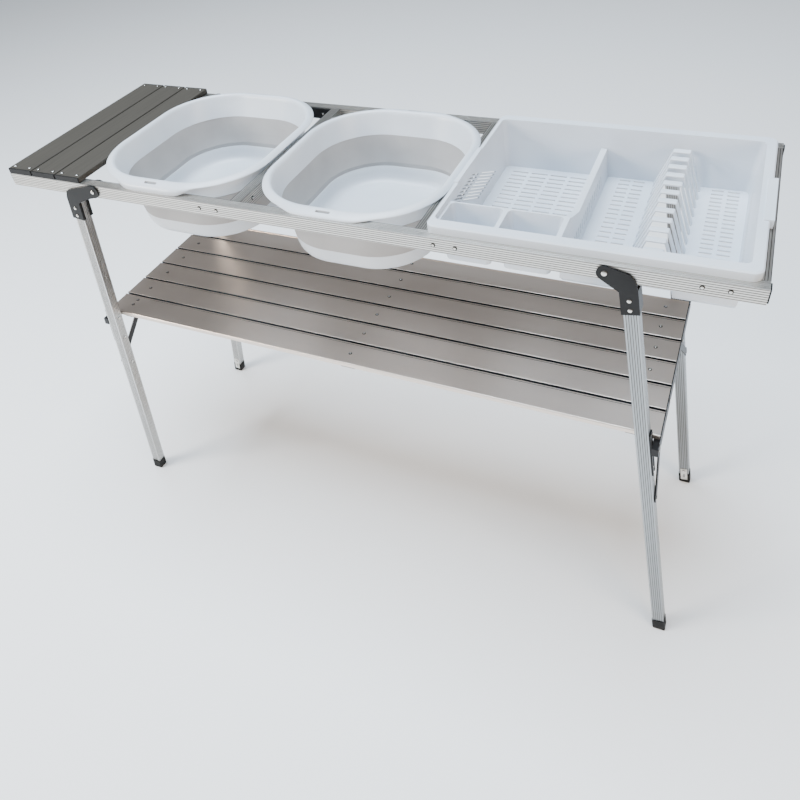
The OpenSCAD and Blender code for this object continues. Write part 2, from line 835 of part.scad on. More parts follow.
// Diagonal stay from an arm down to the lowest peg, open downwards at the peg
module stay(x, s) {
    top = [rail_y - stay_y, -along(x, stay_z)];
    low = [0, -along(x, pegs[2])];
    run = low - top;
    difference() {
        at_leg(x, s) translate([offset_of(x) + hook_off, 0, 0])
            rotate([90, 0, 90]) linear_extrude(height = leaf_t) difference() {
                union() {
                    translate(top) circle(d = stay_top_w);
                    translate(low) circle(d = stay_end_w);
                    translate(top) rotate(atan2(run[1], run[0]))
                        translate([0, -stay_w / 2]) square([norm(run), stay_w]);
                }
                translate(low) circle(r = peg_r + slot_gap + slot_eye);
                translate(low + [-peg_r - slot_gap, -stay_end_w]) square([2 * (peg_r + slot_gap), stay_end_w]);
            }
        at_stay_rivet(x, s) small_bore(arm_w + leaf_t);
    }
}

module stays_left() {
    color(black) for (s = [-1, 1]) {
        stay(-1, s);
    }
}

module stays_right() {
    color(black) for (s = [-1, 1]) {
        stay(1, s);
    }
}

// Upright hook plate, slotted from below over the two upper pegs
module hook(x, s) {
    top = -along(x, leaf_hi);
    low = -along(x, leaf_lo);
    peg = -along(x, pegs[0]);
    difference() {
        at_leg(x, s) translate([offset_of(x) + hook_off, 0, 0])
            rotate([90, 0, 90]) linear_extrude(height = leaf_t) difference() {
                translate([-leaf_w / 2, low]) square([leaf_w, top - low]);
                translate([0, peg]) circle(r = peg_r + slot_gap + slot_eye);
                translate([-peg_r - slot_gap, low - cut]) square([2 * (peg_r + slot_gap), peg - low + cut]);
            }
        at_hook_pins(x, s) translate([0, 0, -arm_w - leaf_t - cut])
            cylinder(h = arm_w + leaf_t + 2 * cut, r = pin_small_r + run_fit);
    }
}

module hooks_left() {
    color(black) for (s = [-1, 1]) {
        hook(-1, s);
    }
}

module hooks_right() {
    color(black) for (s = [-1, 1]) {
        hook(1, s);
    }
}

module arm_fixings() {
    color(steel) for (x = [-1, 1]) {
        at_arm_screws(x) {
            translate([0, 0, -screw_head_h]) cylinder(h = screw_head_h, r = screw_head_r);
            cylinder(h = shelf_under - arm_lo + 2 * shelf_wall, r = screw_r);
        }
        for (s = [-1, 1]) {
            at_stay_rivet(x, s) small_rivet(arm_w + leaf_t);
            at_hook_pins(x, s) {
                cylinder(h = screw_head_h, r1 = 2 * pin_small_r, r2 = pin_small_r);
                translate([0, 0, -arm_w - leaf_t]) cylinder(h = arm_w + leaf_t, r = pin_small_r);
            }
        }
    }
}

// Tapered block between two heights, each end given by its half sides
module taper(z0, hx0, hy0, z1, hx1, hy1, r) {
    translate([0, 0, z0]) linear_extrude(height = z1 - z0, scale = [hx1 / hx0, hy1 / hy0], slices = 1)
        rounded(hx0, hy0, r, $fn = 96);
}

// Tapered wall of a basin between two heights
module bowl(z0, hx0, hy0, z1, hx1, hy1, r) {
    difference() {
        taper(z0, hx0, hy0, z1, hx1, hy1, r);
        taper(z0, hx0 - bowl_wall, hy0 - bowl_wall, z1, hx1 - bowl_wall, hy1 - bowl_wall, r - bowl_wall);
    }
}

waist_z = frame_top - waist_dz;
ledge_z = frame_top - ledge_dz;
sole_z = frame_top - basin_depth;

// Plan of both handles of a basin
module handle_plan() {
    for (s = [-1, 1]) {
        intersection() {
            translate([0, s * (handle_y + handle_in) / 2 + s * (rim_hy - handle_in - handle_y) / 2])
                square([2 * handle_hw, 2 * (handle_y - rim_hy + handle_in)], center = true);
            translate([0, s * (handle_y - handle_arc)]) circle(r = handle_arc, $fn = 192);
        }
    }
}

// White upper part: wall, rolled rim, and down-turned handles front and rear
module basin_rim(bx, rise) {
    rim_z = frame_top + rim_low + rise;
    color(white) translate([bx, 0, 0]) difference() {
        union() {
            taper(waist_z + rise, waist_hx, waist_hy, rim_z + cut, bowl_hx, bowl_hy, bowl_r);
            translate([0, 0, rim_z]) linear_extrude(height = rim_t - rim_ease)
                rounded(rim_hx, rim_hy, corner_r, $fn = 96);
            taper(rim_z + rim_t - rim_ease, rim_hx, rim_hy, rim_z + rim_t,
                rim_hx - rim_lip, rim_hy - rim_lip, corner_r);
            translate([0, 0, frame_top]) linear_extrude(height = rim_low + rise + rim_t - rim_ease)
                handle_plan();
        }
        taper(waist_z + rise - cut, waist_hx - bowl_wall, waist_hy - bowl_wall,
            rim_z + rim_t + cut, bowl_hx - bowl_wall + cut, bowl_hy - bowl_wall + cut, bowl_r - bowl_wall);
        translate([0, 0, frame_top - cut]) linear_extrude(height = rim_low + rise + cut) difference() {
            scale([(handle_hw - handle_t) / handle_hw, (handle_y - handle_t) / handle_y]) handle_plan();
            rounded(bowl_hx, bowl_hy, bowl_r, $fn = 96);
        }
        for (s = [-1, 1]) {
            translate([0, s * handle_slot_y, frame_top])
                linear_extrude(height = 2 * (rim_low + rim_t))
                    rounded(handle_slot[0] / 2, handle_slot[1] / 2, handle_slot[1] / 2 - run_fit);
        }
    }
}

// Soft grey band that folds when the basin is pushed flat
module basin_band(bx, rise) {
    color(band_grey) translate([bx, 0, rise])
        bowl(ledge_z, ledge_hx, ledge_hy, waist_z, waist_hx, waist_hy, base_r);
}

// White base of a basin, rounded into its sole
module basin_base(bx, rise) {
    low = sole_z + sole_dz;
    color(white) translate([bx, 0, rise]) difference() {
        union() {
            taper(low, foot_hx, foot_hy, ledge_z, ledge_hx, ledge_hy, base_r);
            taper(sole_z, sole_hx, sole_hy, low, foot_hx, foot_hy, base_r);
        }
        taper(low, foot_hx - bowl_wall, foot_hy - bowl_wall,
            ledge_z + cut, ledge_hx - 2 * bowl_wall, ledge_hy - 2 * bowl_wall, base_r - bowl_wall);
        taper(sole_z + sole_t, sole_hx - bowl_wall, sole_hy - bowl_wall,
            low, foot_hx - bowl_wall, foot_hy - bowl_wall, base_r - bowl_wall);
    }
}

module basin_1_rim() { basin_rim(basin_1_x, basin_rise[0]); }
module basin_1_band() { basin_band(basin_1_x, basin_rise[0]); }
module basin_1_base() { basin_base(basin_1_x, basin_rise[0]); }
module basin_2_rim() { basin_rim(basin_2_x, basin_rise[1]); }
module basin_2_band() { basin_band(basin_2_x, basin_rise[1]); }
module basin_2_base() { basin_base(basin_2_x, basin_rise[1]); }

// Outline of a trapezoid standing on the rack floor, low edge w wide, top edge t wide
module ridge(w, t, h) {
    polygon([[-w / 2, 0], [w / 2, 0], [t / 2, h], [-t / 2, h]]);
}

// Body of the rack without its rim, larger by grow, and sloped off along its low front edge
module rack_body(z0, z1, grow) {
    difference() {
        translate([rack_mid, 0, 0])
            taper(z0, rack_low_hx + grow, rack_low_hy + grow,
                z1, rack_hx + grow, rack_hy + grow, rack_body_r + grow);
        translate([rack_mid, -grow, rack_floor - rack_wall - grow]) rotate([90, 0, 90])
            linear_extrude(height = rack_len, center = true)
                polygon([[slope_y, -cut], [slope_y, 0], [-rack_low_hy, slope_z],
                    [-rack_dep, slope_z], [-rack_dep, -cut]]);
    }
}

// Everything below the rim in front of the left compartment, where only the trays hang
module below_trays() {
    translate([0, -rack_dep, 0])
        cube([rack_x0 + rib_x + rib_w - rack_wall, rack_dep + tray_y - rack_wall, frame_top]);
}

// Walls, floor and rim of the rack
module rack_shell() {
    low = rack_floor - rack_wall;
    high = frame_top + rack_rim_top;
    difference() {
        union() {
            difference() {
                rack_body(low, high - rack_rim_t, 0);
                below_trays();
            }
            translate([rack_x, 0, frame_top]) linear_extrude(height = rack_rim_top - rack_rim_ease)
                rounded(rack_len / 2, rack_dep / 2, rack_skirt_r);
            translate([rack_x, 0, 0]) taper(high - rack_rim_ease, rack_len / 2, rack_dep / 2,
                high, rack_len / 2 - rack_rim_ease, rack_dep / 2 - rack_rim_ease, rack_skirt_r);
            translate([rack_x0, lug_y0, high - lug_drop])
                cube([lug_in, lug_y1 - lug_y0, lug_drop + lug_up]);
            translate([rack_x1 - lug_in, lug_y0, high - lug_drop])
                cube([lug_in + lug_out, lug_y1 - lug_y0, lug_drop + lug_up]);
        }
        difference() {
            rack_body(rack_floor, high + lug_up + cut, -rack_wall);
            translate([0, tray_y - rack_wall, 0])
                cube([rack_x0 + rib_x + rib_w / 2, rack_wall, frame_top + tray_z]);
        }
        difference() {
            translate([rack_x, 0, frame_top - cut]) linear_extrude(height = rack_rim_top - rack_rim_t + cut)
                rounded(rack_len / 2 - rack_wall, rack_dep / 2 - rack_wall, rack_skirt_r - rack_wall);
            translate([rack_mid, 0, frame_top - 2 * cut]) linear_extrude(height = 2 * rack_rim_top)
                rounded(rack_hx, rack_hy, rack_body_r);
        }
    }
}

// Cutlery trays at the front left of the rack
module trays() {
    x0 = rack_body_x0 + tray_in;
    x1 = rack_x0 + tray_end;
    w = (x1 - x0 - tray_split) / 2;
    top = frame_top + tray_z;
    y0 = -rack_hy + rack_wall / 2;
    d = tray_y - y0;
    difference() {
        union() {
            translate([rack_body_x0 + rack_wall / 2, y0, top - rack_wall])
                cube([rack_x0 + rib_x + (rib_w + rib_top_w - rack_wall) / 2 - rack_body_x0, d, rack_wall]);
            for (k = [0, 1]) {
                translate([x0 + k * (w + tray_split) + w / 2, y0 + d / 2, 0])
                    taper(top - tray_drop - rack_wall, tray_low[0], tray_low[1],
                        top - rack_wall, w / 2 + rack_wall / 2, d / 2, tray_r);
            }
        }
        for (k = [0, 1]) {
            translate([x0 + k * (w + tray_split) + w / 2, y0 + d / 2, 0])
                taper(top - tray_drop, tray_low[0] - rack_wall, tray_low[1] - rack_wall,
                    top + cut, w / 2 - rack_wall / 2, d / 2 - rack_wall, tray_r - rack_wall);
        }
    }
}

// Hollow rib between the left and middle compartments, which ends in a wall beside the trays
module rack_rib() {
    back = rack_low_hy - rack_wall / 2;
    low = rib_w / 2 + rib_spread;
    high = rib_top_w / 2;
    rise = rack_depth + tray_z + rack_wall;
    translate([rack_x0 + rib_x + rib_w / 2, back, rack_floor]) rotate([90, 0, 0])
        linear_extrude(height = back - tray_y + rack_wall) difference() {
            ridge(rib_w, rib_top_w, rib_top);
            translate([0, -rack_wall]) ridge(rib_w - 2 * rack_wall, rib_top_w - 2 * rack_wall, rib_top);
        }
    intersection() {
        translate([rack_x0 + rib_x + rib_w / 2, tray_y, rack_floor - rack_wall]) rotate([90, 0, 0])
            linear_extrude(height = rack_hy + tray_y)
                polygon([[low - rack_wall, 0], [low, 0], [high, rise], [high - rack_wall, rise]]);
        rack_body(rack_floor - rack_wall, frame_top + rack_rim_top, 0);
    }
    translate([rack_x0 + rib_x + (rib_w - rib_top_w) / 2, 0, rack_floor]) rotate([90, 0, 90])
        linear_extrude(height = rib_top_w)
            polygon([[tray_y + rib_slope, rib_top - cut], [tray_y - rack_wall, rib_high],
                [tray_y - rack_wall, rib_top - cut]]);
}

// Row of arches that plates stand between
module rack_arches() {
    color(white) for (k = [0 : arches - 1]) {
        y = arch_y0 - k * (arch_y0 - arch_y1) / (arches - 1);
        translate([rack_x0 + arch_x + arch_base / 2, y, rack_floor])
            rotate([90, 0, 0]) translate([0, 0, -arch_t / 2]) linear_extrude(height = arch_t) difference() {
                ridge(arch_base, arch_top, arch_h);
                translate([0, -arch_wall]) ridge(arch_base - 2 * arch_wall, arch_top - arch_wall, arch_h);
            }
    }
}

// Openings under the rib and under the arches, which run out through the front wall
module rack_gaps() {
    low = rack_floor - rack_wall - cut;
    translate([rack_x0 + rib_x + rack_wall, -rack_dep, low])
        cube([rib_w - 2 * rack_wall, rack_dep + rack_low_hy - 3 * rack_wall, rack_wall + 2 * cut]);
    translate([rack_x0 + arch_x + arch_wall, -rack_dep, low])
        cube([arch_base - 2 * arch_wall, rack_dep + rack_low_hy - 3 * rack_wall, rack_wall + 2 * cut]);
    translate([rack_x0 + arch_x + arch_wall, -rack_dep, low])
        cube([arch_base - 2 * arch_wall, rack_dep + slope_y + 2 * rack_wall, notch_z]);
}

// Slots through the floor, the rib and both end walls
module rack_slots() {
    for (slant = slants, k = [0 : slant_rows - 1]) {
        translate([rack_body_x0 - cut, -k * slant_pitch, frame_top]) rotate([90, 0, 90])
            linear_extrude(height = tray_in + 2 * slant_w)
                polygon([slant[0], slant[0] + [slant_w, 0], slant[1] + [slant_w, 0], slant[1]]);
    }
    for (f = floor_slots, c = [0 : f[3] - 1], y = [rack_low_hy - f[4] : -f[5] : f[6] - rack_low_hy]) {
        translate([rack_x0 + f[0] + c * f[2], y - slot_w / 2, rack_floor - 2 * rack_wall])
            cube([f[1], slot_w, 3 * rack_wall]);
    }
    for (k = [0 : wall_slots - 1]) {
        y = wall_slot_y - k * wall_slot_pitch;
        translate([rack_mid + rack_low_hx - rack_wall - cut, y, rack_floor + wall_slot_z])
            cube([rack_hx, wall_slot_w, wall_slot_h]);
        translate([rack_x0 + rib_x + rib_w / 2, y, rack_floor + rib_slot_z])
            cube([rib_w / 2, wall_slot_w, rib_slot_h]);
    }
}

module dish_rack() {
    color(white) difference() {
        union() {
            difference() {
                rack_shell();
                rack_gaps();
            }
            trays();
            rack_rib();
        }
        rack_slots();
    }
}

rail_front();
rail_rear();
rail_plugs();
cross_bar_left();
cross_bar_middle();
end_bar();
corner_brackets();
frame_rivets();
side_slat_1();
side_slat_2();
side_slat_3();
side_slat_caps();
side_slat_rivets();
hinge_pins();
leg_fl();
leg_rl();
leg_fr();
leg_rr();
hinge_fl();
hinge_rl();
hinge_fr();
hinge_rr();
leg_rivets_fl();
leg_rivets_rl();
leg_rivets_fr();
leg_rivets_rr();
foot_fl();
foot_rl();
foot_fr();
foot_rr();
foot_plate_fl();
foot_plate_rl();
foot_plate_fr();
foot_plate_rr();
shelf_slat_1();
shelf_slat_2();
shelf_slat_3();
shelf_slat_4();
shelf_slat_5();
shelf_slat_6();
batten_left();
batten_middle();
batten_right();
batten_caps();
shelf_rivets();
arm_left();
arm_right();
stays_left();
stays_right();
hooks_left();
hooks_right();
arm_fixings();
basin_1_rim();
basin_1_band();
basin_1_base();
basin_2_rim();
basin_2_band();
basin_2_base();
dish_rack();
rack_arches();
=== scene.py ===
import math

import bmesh
import bpy
from mathutils import Matrix, Vector


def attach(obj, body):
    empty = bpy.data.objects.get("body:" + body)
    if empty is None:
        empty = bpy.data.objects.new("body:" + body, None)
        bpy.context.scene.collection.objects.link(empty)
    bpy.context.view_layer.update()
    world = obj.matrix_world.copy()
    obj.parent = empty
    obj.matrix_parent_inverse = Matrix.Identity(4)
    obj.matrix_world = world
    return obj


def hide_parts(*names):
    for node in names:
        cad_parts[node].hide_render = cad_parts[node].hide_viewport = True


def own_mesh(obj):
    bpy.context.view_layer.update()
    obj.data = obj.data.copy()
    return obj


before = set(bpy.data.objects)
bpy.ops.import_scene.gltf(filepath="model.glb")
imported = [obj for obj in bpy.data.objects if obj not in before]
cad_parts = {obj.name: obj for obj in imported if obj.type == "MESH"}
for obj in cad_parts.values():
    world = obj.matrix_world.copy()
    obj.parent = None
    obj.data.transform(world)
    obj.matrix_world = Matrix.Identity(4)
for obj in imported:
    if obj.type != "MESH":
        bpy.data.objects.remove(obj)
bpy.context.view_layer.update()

# ---- The view and the studio ----
# The camera stands right of the middle and above the stand, where the photograph was taken.
# A pale floor, one broad soft light overhead and two fills stand in for an open sky.

eye = Vector((0.56388, -1.03002, 1.43075))
look_right = Vector((0.91042, 0.40173, -0.09868))
look_up = Vector((-0.19341, 0.62426, 0.75690))
look_back = look_right.cross(look_up)
lens_data = bpy.data.cameras.new("view")
lens_data.lens = 32.866
lens_data.sensor_width = 36.0
lens_data.shift_x = 0.01198
lens_data.shift_y = -0.07778
lens_data.clip_start = 0.05
lens_data.clip_end = 60.0
view_camera = bpy.data.objects.new("view", lens_data)
view_camera.matrix_world = Matrix(
    (
        (look_right.x, look_up.x, look_back.x, eye.x),
        (look_right.y, look_up.y, look_back.y, eye.y),
        (look_right.z, look_up.z, look_back.z, eye.z),
        (0, 0, 0, 1),
    )
)
bpy.context.scene.collection.objects.link(view_camera)
bpy.context.scene.camera = view_camera


def add_piece(name, mesh):
    """An object for a finished mesh, at the origin."""
    piece = bpy.data.objects.new(name, mesh)
    bpy.context.scene.collection.objects.link(piece)
    return piece


def soft_light(name, place, target, size, watts, colour):
    """A rectangular area light that faces a point."""
    data = bpy.data.lights.new(name, "AREA")
    data.shape = "RECTANGLE"
    data.size, data.size_y = size
    data.energy = watts
    data.color = colour
    lamp = bpy.data.objects.new(name, data)
    lamp.location = place
    aim = Vector(target) - Vector(place)
    lamp.rotation_euler = aim.to_track_quat("-Z", "Y").to_euler()
    bpy.context.scene.collection.objects.link(lamp)


soft_light("sky", (-0.5, -0.2, 4.8), (0, -0.2, 0.5), (3.2, 2.8), 520, (0.74, 0.87, 1.0))
soft_light("left_key", (-2.7, -2.3, 2.2), (-0.2, 0, 0.6), (1.4, 1.2), 150, (1.0, 0.95, 0.88))
soft_light("right_fill", (3.0, -1.6, 1.5), (0.3, 0, 0.6), (1.6, 1.2), 70, (1.0, 0.82, 0.64))

world = bpy.data.worlds.new("studio")
world.use_nodes = True
world.node_tree.nodes["Background"].inputs["Color"].default_value = (0.90, 0.94, 1.0, 1)
world.node_tree.nodes["Background"].inputs["Strength"].default_value = 0.34
bpy.context.scene.world = world

floor_mesh = bpy.data.meshes.new("floor")
reach = 30.0
floor_mesh.from_pydata(
    [(-reach, -reach, 0), (reach, -reach, 0), (reach, reach, 0), (-reach, reach, 0)],
    [],
    [(0, 1, 2, 3)],
)
floor = add_piece("floor", floor_mesh)
floor_paint = bpy.data.materials.new("studio_floor")
floor_paint.use_nodes = True
floor_shader = floor_paint.node_tree.nodes["Principled BSDF"]
floor_shader.inputs["Base Color"].default_value = (0.93, 0.93, 0.93, 1)
floor_shader.inputs["Roughness"].default_value = 0.9
floor_mesh.materials.append(floor_paint)


# ---- Rails and cross bars ----
# Two long rails and three cross bars of extruded aluminium tube, ribbed along its length
# and pale anodised. They keep their drawn shape and get the metal's fine drawn streaks.


def grow(tree, kind, **settings):
    """A node of a shader or geometry tree."""
    node = tree.nodes.new(kind)
    for key, value in settings.items():
        setattr(node, key, value)
    return node


def new_finish(name, colour, rough, metal=0.0):
    """A material with its shader, and a short way to add and join nodes."""
    finish = bpy.data.materials.new(name)
    finish.use_nodes = True
    tree = finish.node_tree
    shader = tree.nodes["Principled BSDF"]
    shader.inputs["Base Color"].default_value = (*colour, 1)
    shader.inputs["Roughness"].default_value = rough
    shader.inputs["Metallic"].default_value = metal

    def add(kind, **settings):
        return grow(tree, kind, **settings)

    def join(a, a_socket, b, b_socket):
        tree.links.new(a.outputs[a_socket], b.inputs[b_socket])

    return finish, shader, add, join


def grain(add, join, stretch, scale, detail=3.0):
    """Noise on the piece's own coordinates, stretched along the way it was drawn."""
    place = add("ShaderNodeTexCoord")
    mapping = add("ShaderNodeMapping")
    mapping.inputs["Scale"].default_value = stretch
    noise = add("ShaderNodeTexNoise")
    noise.inputs["Scale"].default_value = scale
    noise.inputs["Detail"].default_value = detail
    join(place, "Object", mapping, "Vector")
    join(mapping, "Vector", noise, "Vector")
    return noise


def tint(add, join, shader, noise, dark, light, low=0.35, high=0.65):
    """Colour that varies between two tones with a noise."""
    ramp = add("ShaderNodeValToRGB")
    ramp.color_ramp.elements[0].position = low
    ramp.color_ramp.elements[0].color = (*dark, 1)
    ramp.color_ramp.elements[1].position = high
    ramp.color_ramp.elements[1].color = (*light, 1)
    join(noise, "Fac", ramp, "Fac")
    join(ramp, "Color", shader, "Base Color")
    return ramp


def vary_rough(add, join, shader, noise, low, high):
    """Roughness that varies with a noise."""
    spread = add("ShaderNodeMapRange")
    spread.inputs["To Min"].default_value = low
    spread.inputs["To Max"].default_value = high
    join(noise, "Fac", spread, "Value")
    join(spread, "Result", shader, "Roughness")


def relief(add, join, shader, noise, strength, depth):
    """Fine relief from a noise."""
    bump = add("ShaderNodeBump")
    bump.inputs["Strength"].default_value = strength
    bump.inputs["Distance"].default_value = depth
    join(noise, "Fac", bump, "Height")
    join(bump, "Normal", shader, "Normal")


def math_step(add, join, kind, source, socket, value=0.0):
    """One arithmetic step on a socket."""
    step = add("ShaderNodeMath", operation=kind)
    join(source, socket, step, 0)
    step.inputs[1].default_value = value
    return step


def math_pair(add, join, kind, a, b):
    """One arithmetic step on two nodes."""
    step = add("ShaderNodeMath", operation=kind)
    join(a, 0, step, 0)
    join(b, 0, step, 1)
    return step


# Sockets of a colour mix, by their place in the node
mix_share, mix_under, mix_over, mix_result = 0, 6, 7, 2


def paint_over(add, join, shader, ramp, mask, colour):
    """Another colour over a tint where a mask is 1."""
    mixed = add("ShaderNodeMix", data_type="RGBA")
    mixed.inputs[mix_over].default_value = (*colour, 1)
    join(mask, 0, mixed, mix_share)
    join(ramp, "Color", mixed, mix_under)
    join(mixed, mix_result, shader, "Base Color")


def drawn_lines(add, join, place, axis, middle, pitch, width):
    """1 in thin lines a pitch apart across one axis of the piece, 0 between them."""
    shift = math_step(add, join, "SUBTRACT", place, axis, middle - pitch / 2)
    share = math_step(add, join, "DIVIDE", shift, 0, pitch)
    part = math_step(add, join, "FRACT", share, 0)
    centre = math_step(add, join, "SUBTRACT", part, 0, 0.5)
    away = math_step(add, join, "ABSOLUTE", centre, 0)
    line = add("ShaderNodeMapRange")
    line.interpolation_type = "SMOOTHSTEP"
    line.inputs["From Min"].default_value = width
    line.inputs["From Max"].default_value = width * 0.35
    join(away, 0, line, "Value")
    return line


groove_pitch = 0.0036
groove_dark = (0.065, 0.056, 0.047)
# A face counts as facing along an axis where its normal has more than this share of it
facing_share = 0.6
# Grooves, and the faint drawing lines between them: pitch, half width in pitches, darkness
groove_kinds = ((groove_pitch, 0.20, 1.0), (groove_pitch / 3, 0.30, 0.18))


def drawn_aluminium(name, stretch, lines, turn=0.0, light=(0.74, 0.72, 0.68)):
    """Pale anodised tube with its grooves darkened and streaks along the way it was extruded.

    lines: for each face, the axis across its grooves and where the middle one lies.
    """
    finish, shader, add, join = new_finish(name, light, 0.32, 1.0)
    place = add("ShaderNodeTexCoord")
    turned = add("ShaderNodeMapping")
    turned.vector_type = "POINT"
    turned.inputs["Rotation"].default_value = (0, turn, 0)
    join(place, "Object", turned, "Vector")
    split = add("ShaderNodeSeparateXYZ")
    join(turned, "Vector", split, "Vector")
    stretched = add("ShaderNodeVectorMath", operation="MULTIPLY")
    stretched.inputs[1].default_value = stretch
    join(turned, "Vector", stretched, 0)
    streaks = add("ShaderNodeTexNoise")
    streaks.inputs["Scale"].default_value = 1.0
    streaks.inputs["Detail"].default_value = 5.0
    join(stretched, "Vector", streaks, "Vector")
    facing = add("ShaderNodeSeparateXYZ")
    join(place, "Normal", facing, "Vector")
    marks = None
    for axis, middle in lines:
        steep = math_step(add, join, "ABSOLUTE", facing, axis)
        flat = math_step(add, join, "LESS_THAN", steep, 0, facing_share)
        for pitch, width, share in groove_kinds:
            crease = drawn_lines(add, join, split, axis, middle, pitch, width)
            crease.inputs["To Max"].default_value = share
            line = math_pair(add, join, "MULTIPLY", crease, flat)
            marks = line if marks is None else math_pair(add, join, "MAXIMUM", marks, line)
    ramp = tint(add, join, shader, streaks, [c * 0.86 for c in light], light, 0.30, 0.65)
    paint_over(add, join, shader, ramp, marks, groove_dark)
    vary_rough(add, join, shader, streaks, 0.24, 0.40)
    sunk = math_step(add, join, "MULTIPLY", marks, 0, -1.0)
    bump = add("ShaderNodeBump")
    bump.inputs["Strength"].default_value = 0.55
    bump.inputs["Distance"].default_value = 0.0003
    join(sunk, 0, bump, "Height")
    join(bump, "Normal", shader, "Normal")
    return finish


def finish_nodes(finish, *nodes):
    """Gives CAD nodes a finish."""
    for node in nodes:
        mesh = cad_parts[node].data
        mesh.materials.clear()
        mesh.materials.append(finish)


rail_y, rail_mid = 0.1935, 0.836
bar_x = {"cross_bar_left": -0.1539, "cross_bar_middle": 0.1775, "end_bar": 0.6405}
# The faces over and under a tube have a groove on either side of their middle
beside = groove_pitch / 2
for node, middle in {"rail_front": -rail_y, "rail_rear": rail_y}.items():
    lines = ((2, rail_mid), (1, middle + beside))
    finish_nodes(drawn_aluminium("ribbed_" + node, (3, 260, 260), lines), node)
for node, middle in bar_x.items():
    lines = ((2, rail_mid), (0, middle + beside))
    finish_nodes(drawn_aluminium("ribbed_" + node, (260, 3, 260), lines), node)


# ---- Plugs, corner brackets and slat caps ----
# Black moulded nylon: plugs pushed into the rail ends, angles riveted into the corners and
# caps on the slat ends. Their edges are slightly rounded by the mould.


mould_black = 0.008


def moulded_black(name, rough=0.42):
    """Black plastic with the fine grit of a spark-eroded mould."""
    tone = mould_black
    finish, shader, add, join = new_finish(name, (tone, tone, tone * 1.05), rough)
    cloud = grain(add, join, (1, 1, 1), 22.0, 2.0)
    tint(add, join, shader, cloud, (tone * 0.8,) * 3, (tone * 1.35, tone * 1.35, tone * 1.4))
    fine = grain(add, join, (1, 1, 1), 900.0, 2.0)
    vary_rough(add, join, shader, fine, rough - 0.07, rough + 0.10)
    relief(add, join, shader, fine, 0.18, 0.0002)
    shader.inputs["Specular IOR Level"].default_value = 0.22
    return finish


def settle(piece):
    """Turns a piece and its modifiers into a plain mesh."""
    bpy.context.view_layer.update()
    shown = piece.evaluated_get(bpy.context.evaluated_depsgraph_get())
    done = bpy.data.meshes.new_from_object(shown)
    piece.modifiers.clear()
    piece.data = done


def soften(node, width, finish, segments=2, angle=35.0, above=-1.0, below=9.0):
    """A copy of a CAD node with its sharp edges rounded, shown in its place.

    angle: the least angle of a sharp edge. above, below: the heights between which edges count.
    """
    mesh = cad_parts[node].data.copy()
    mesh.name = "soft_" + node
    work = bmesh.new()
    work.from_mesh(mesh)
    bmesh.ops.remove_doubles(work, verts=work.verts, dist=2e-6)
    upper = [edge for edge in work.edges if min(vert.co.z for vert in edge.verts) > above]
    upper_verts = list({vert for edge in upper for vert in edge.verts})
    bmesh.ops.dissolve_limit(
        work, angle_limit=math.radians(1.0), verts=upper_verts, edges=upper
    )
    weight = work.edges.layers.float.new("bevel_weight_edge")
    for edge in work.edges:
        sharp = len(edge.link_faces) == 2 and edge.calc_face_angle() > math.radians(angle)
        heights = [vert.co.z for vert in edge.verts]
        edge[weight] = float(sharp and min(heights) > above and max(heights) < below)
    work.to_mesh(mesh)
    work.free()
    mesh.materials.clear()
    mesh.materials.append(finish)
    piece = add_piece(node + "_piece", mesh)
    bevel = piece.modifiers.new("round", "BEVEL")
    bevel.width = width
    bevel.segments = segments
    bevel.limit_method = "WEIGHT"
    bevel.use_clamp_overlap = True
    bevel.miter_outer = "MITER_ARC"
    settle(piece)
    smooth_by_angle(piece, 40.0)
    even = piece.modifiers.new("even", "WEIGHTED_NORMAL")
    even.weight = 100
    even.keep_sharp = True
    settle(piece)
    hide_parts(node)
    return piece


def smooth_by_angle(piece, degrees):
    """Smooth shading, with the edges sharper than an angle kept crisp."""
    mesh = piece.data
    mesh.polygons.foreach_set("use_smooth", [True] * len(mesh.polygons))
    work = bmesh.new()
    work.from_mesh(mesh)
    for edge in work.edges:
        if len(edge.link_faces) == 2:
            edge.smooth = edge.calc_face_angle(0.0) < math.radians(degrees)
    work.to_mesh(mesh)
    work.free()


bracket_black = moulded_black("moulded_bracket_black")
for node in ("rail_plugs", "corner_brackets", "side_slat_caps"):
    piece = soften(node, 0.0006, bracket_black)
    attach(piece, "frame")


# ---- Side slats ----
# Three hollow aluminium slats across the left end, coated a matte warm grey with a fine
# grain along their length, and riveted down onto the rails.

slat_coat, shader, add, join = new_finish("side_slat_coating", (0.050, 0.043, 0.034), 0.55)
long_grain = grain(add, join, (420, 7, 420), 1.0, 4.0)
tint(add, join, shader, long_grain, (0.036, 0.031, 0.024), (0.050, 0.043, 0.034), 0.25, 0.75)
shader.inputs["Specular IOR Level"].default_value = 0.30
fine = grain(add, join, (1, 1, 1), 1400.0, 2.0)
vary_rough(add, join, shader, fine, 0.50, 0.64)
relief(add, join, shader, long_grain, 0.12, 0.0002)
for number in (1, 2, 3):
    piece = soften("side_slat_%d" % number, 0.0007, slat_coat)
    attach(piece, "frame")
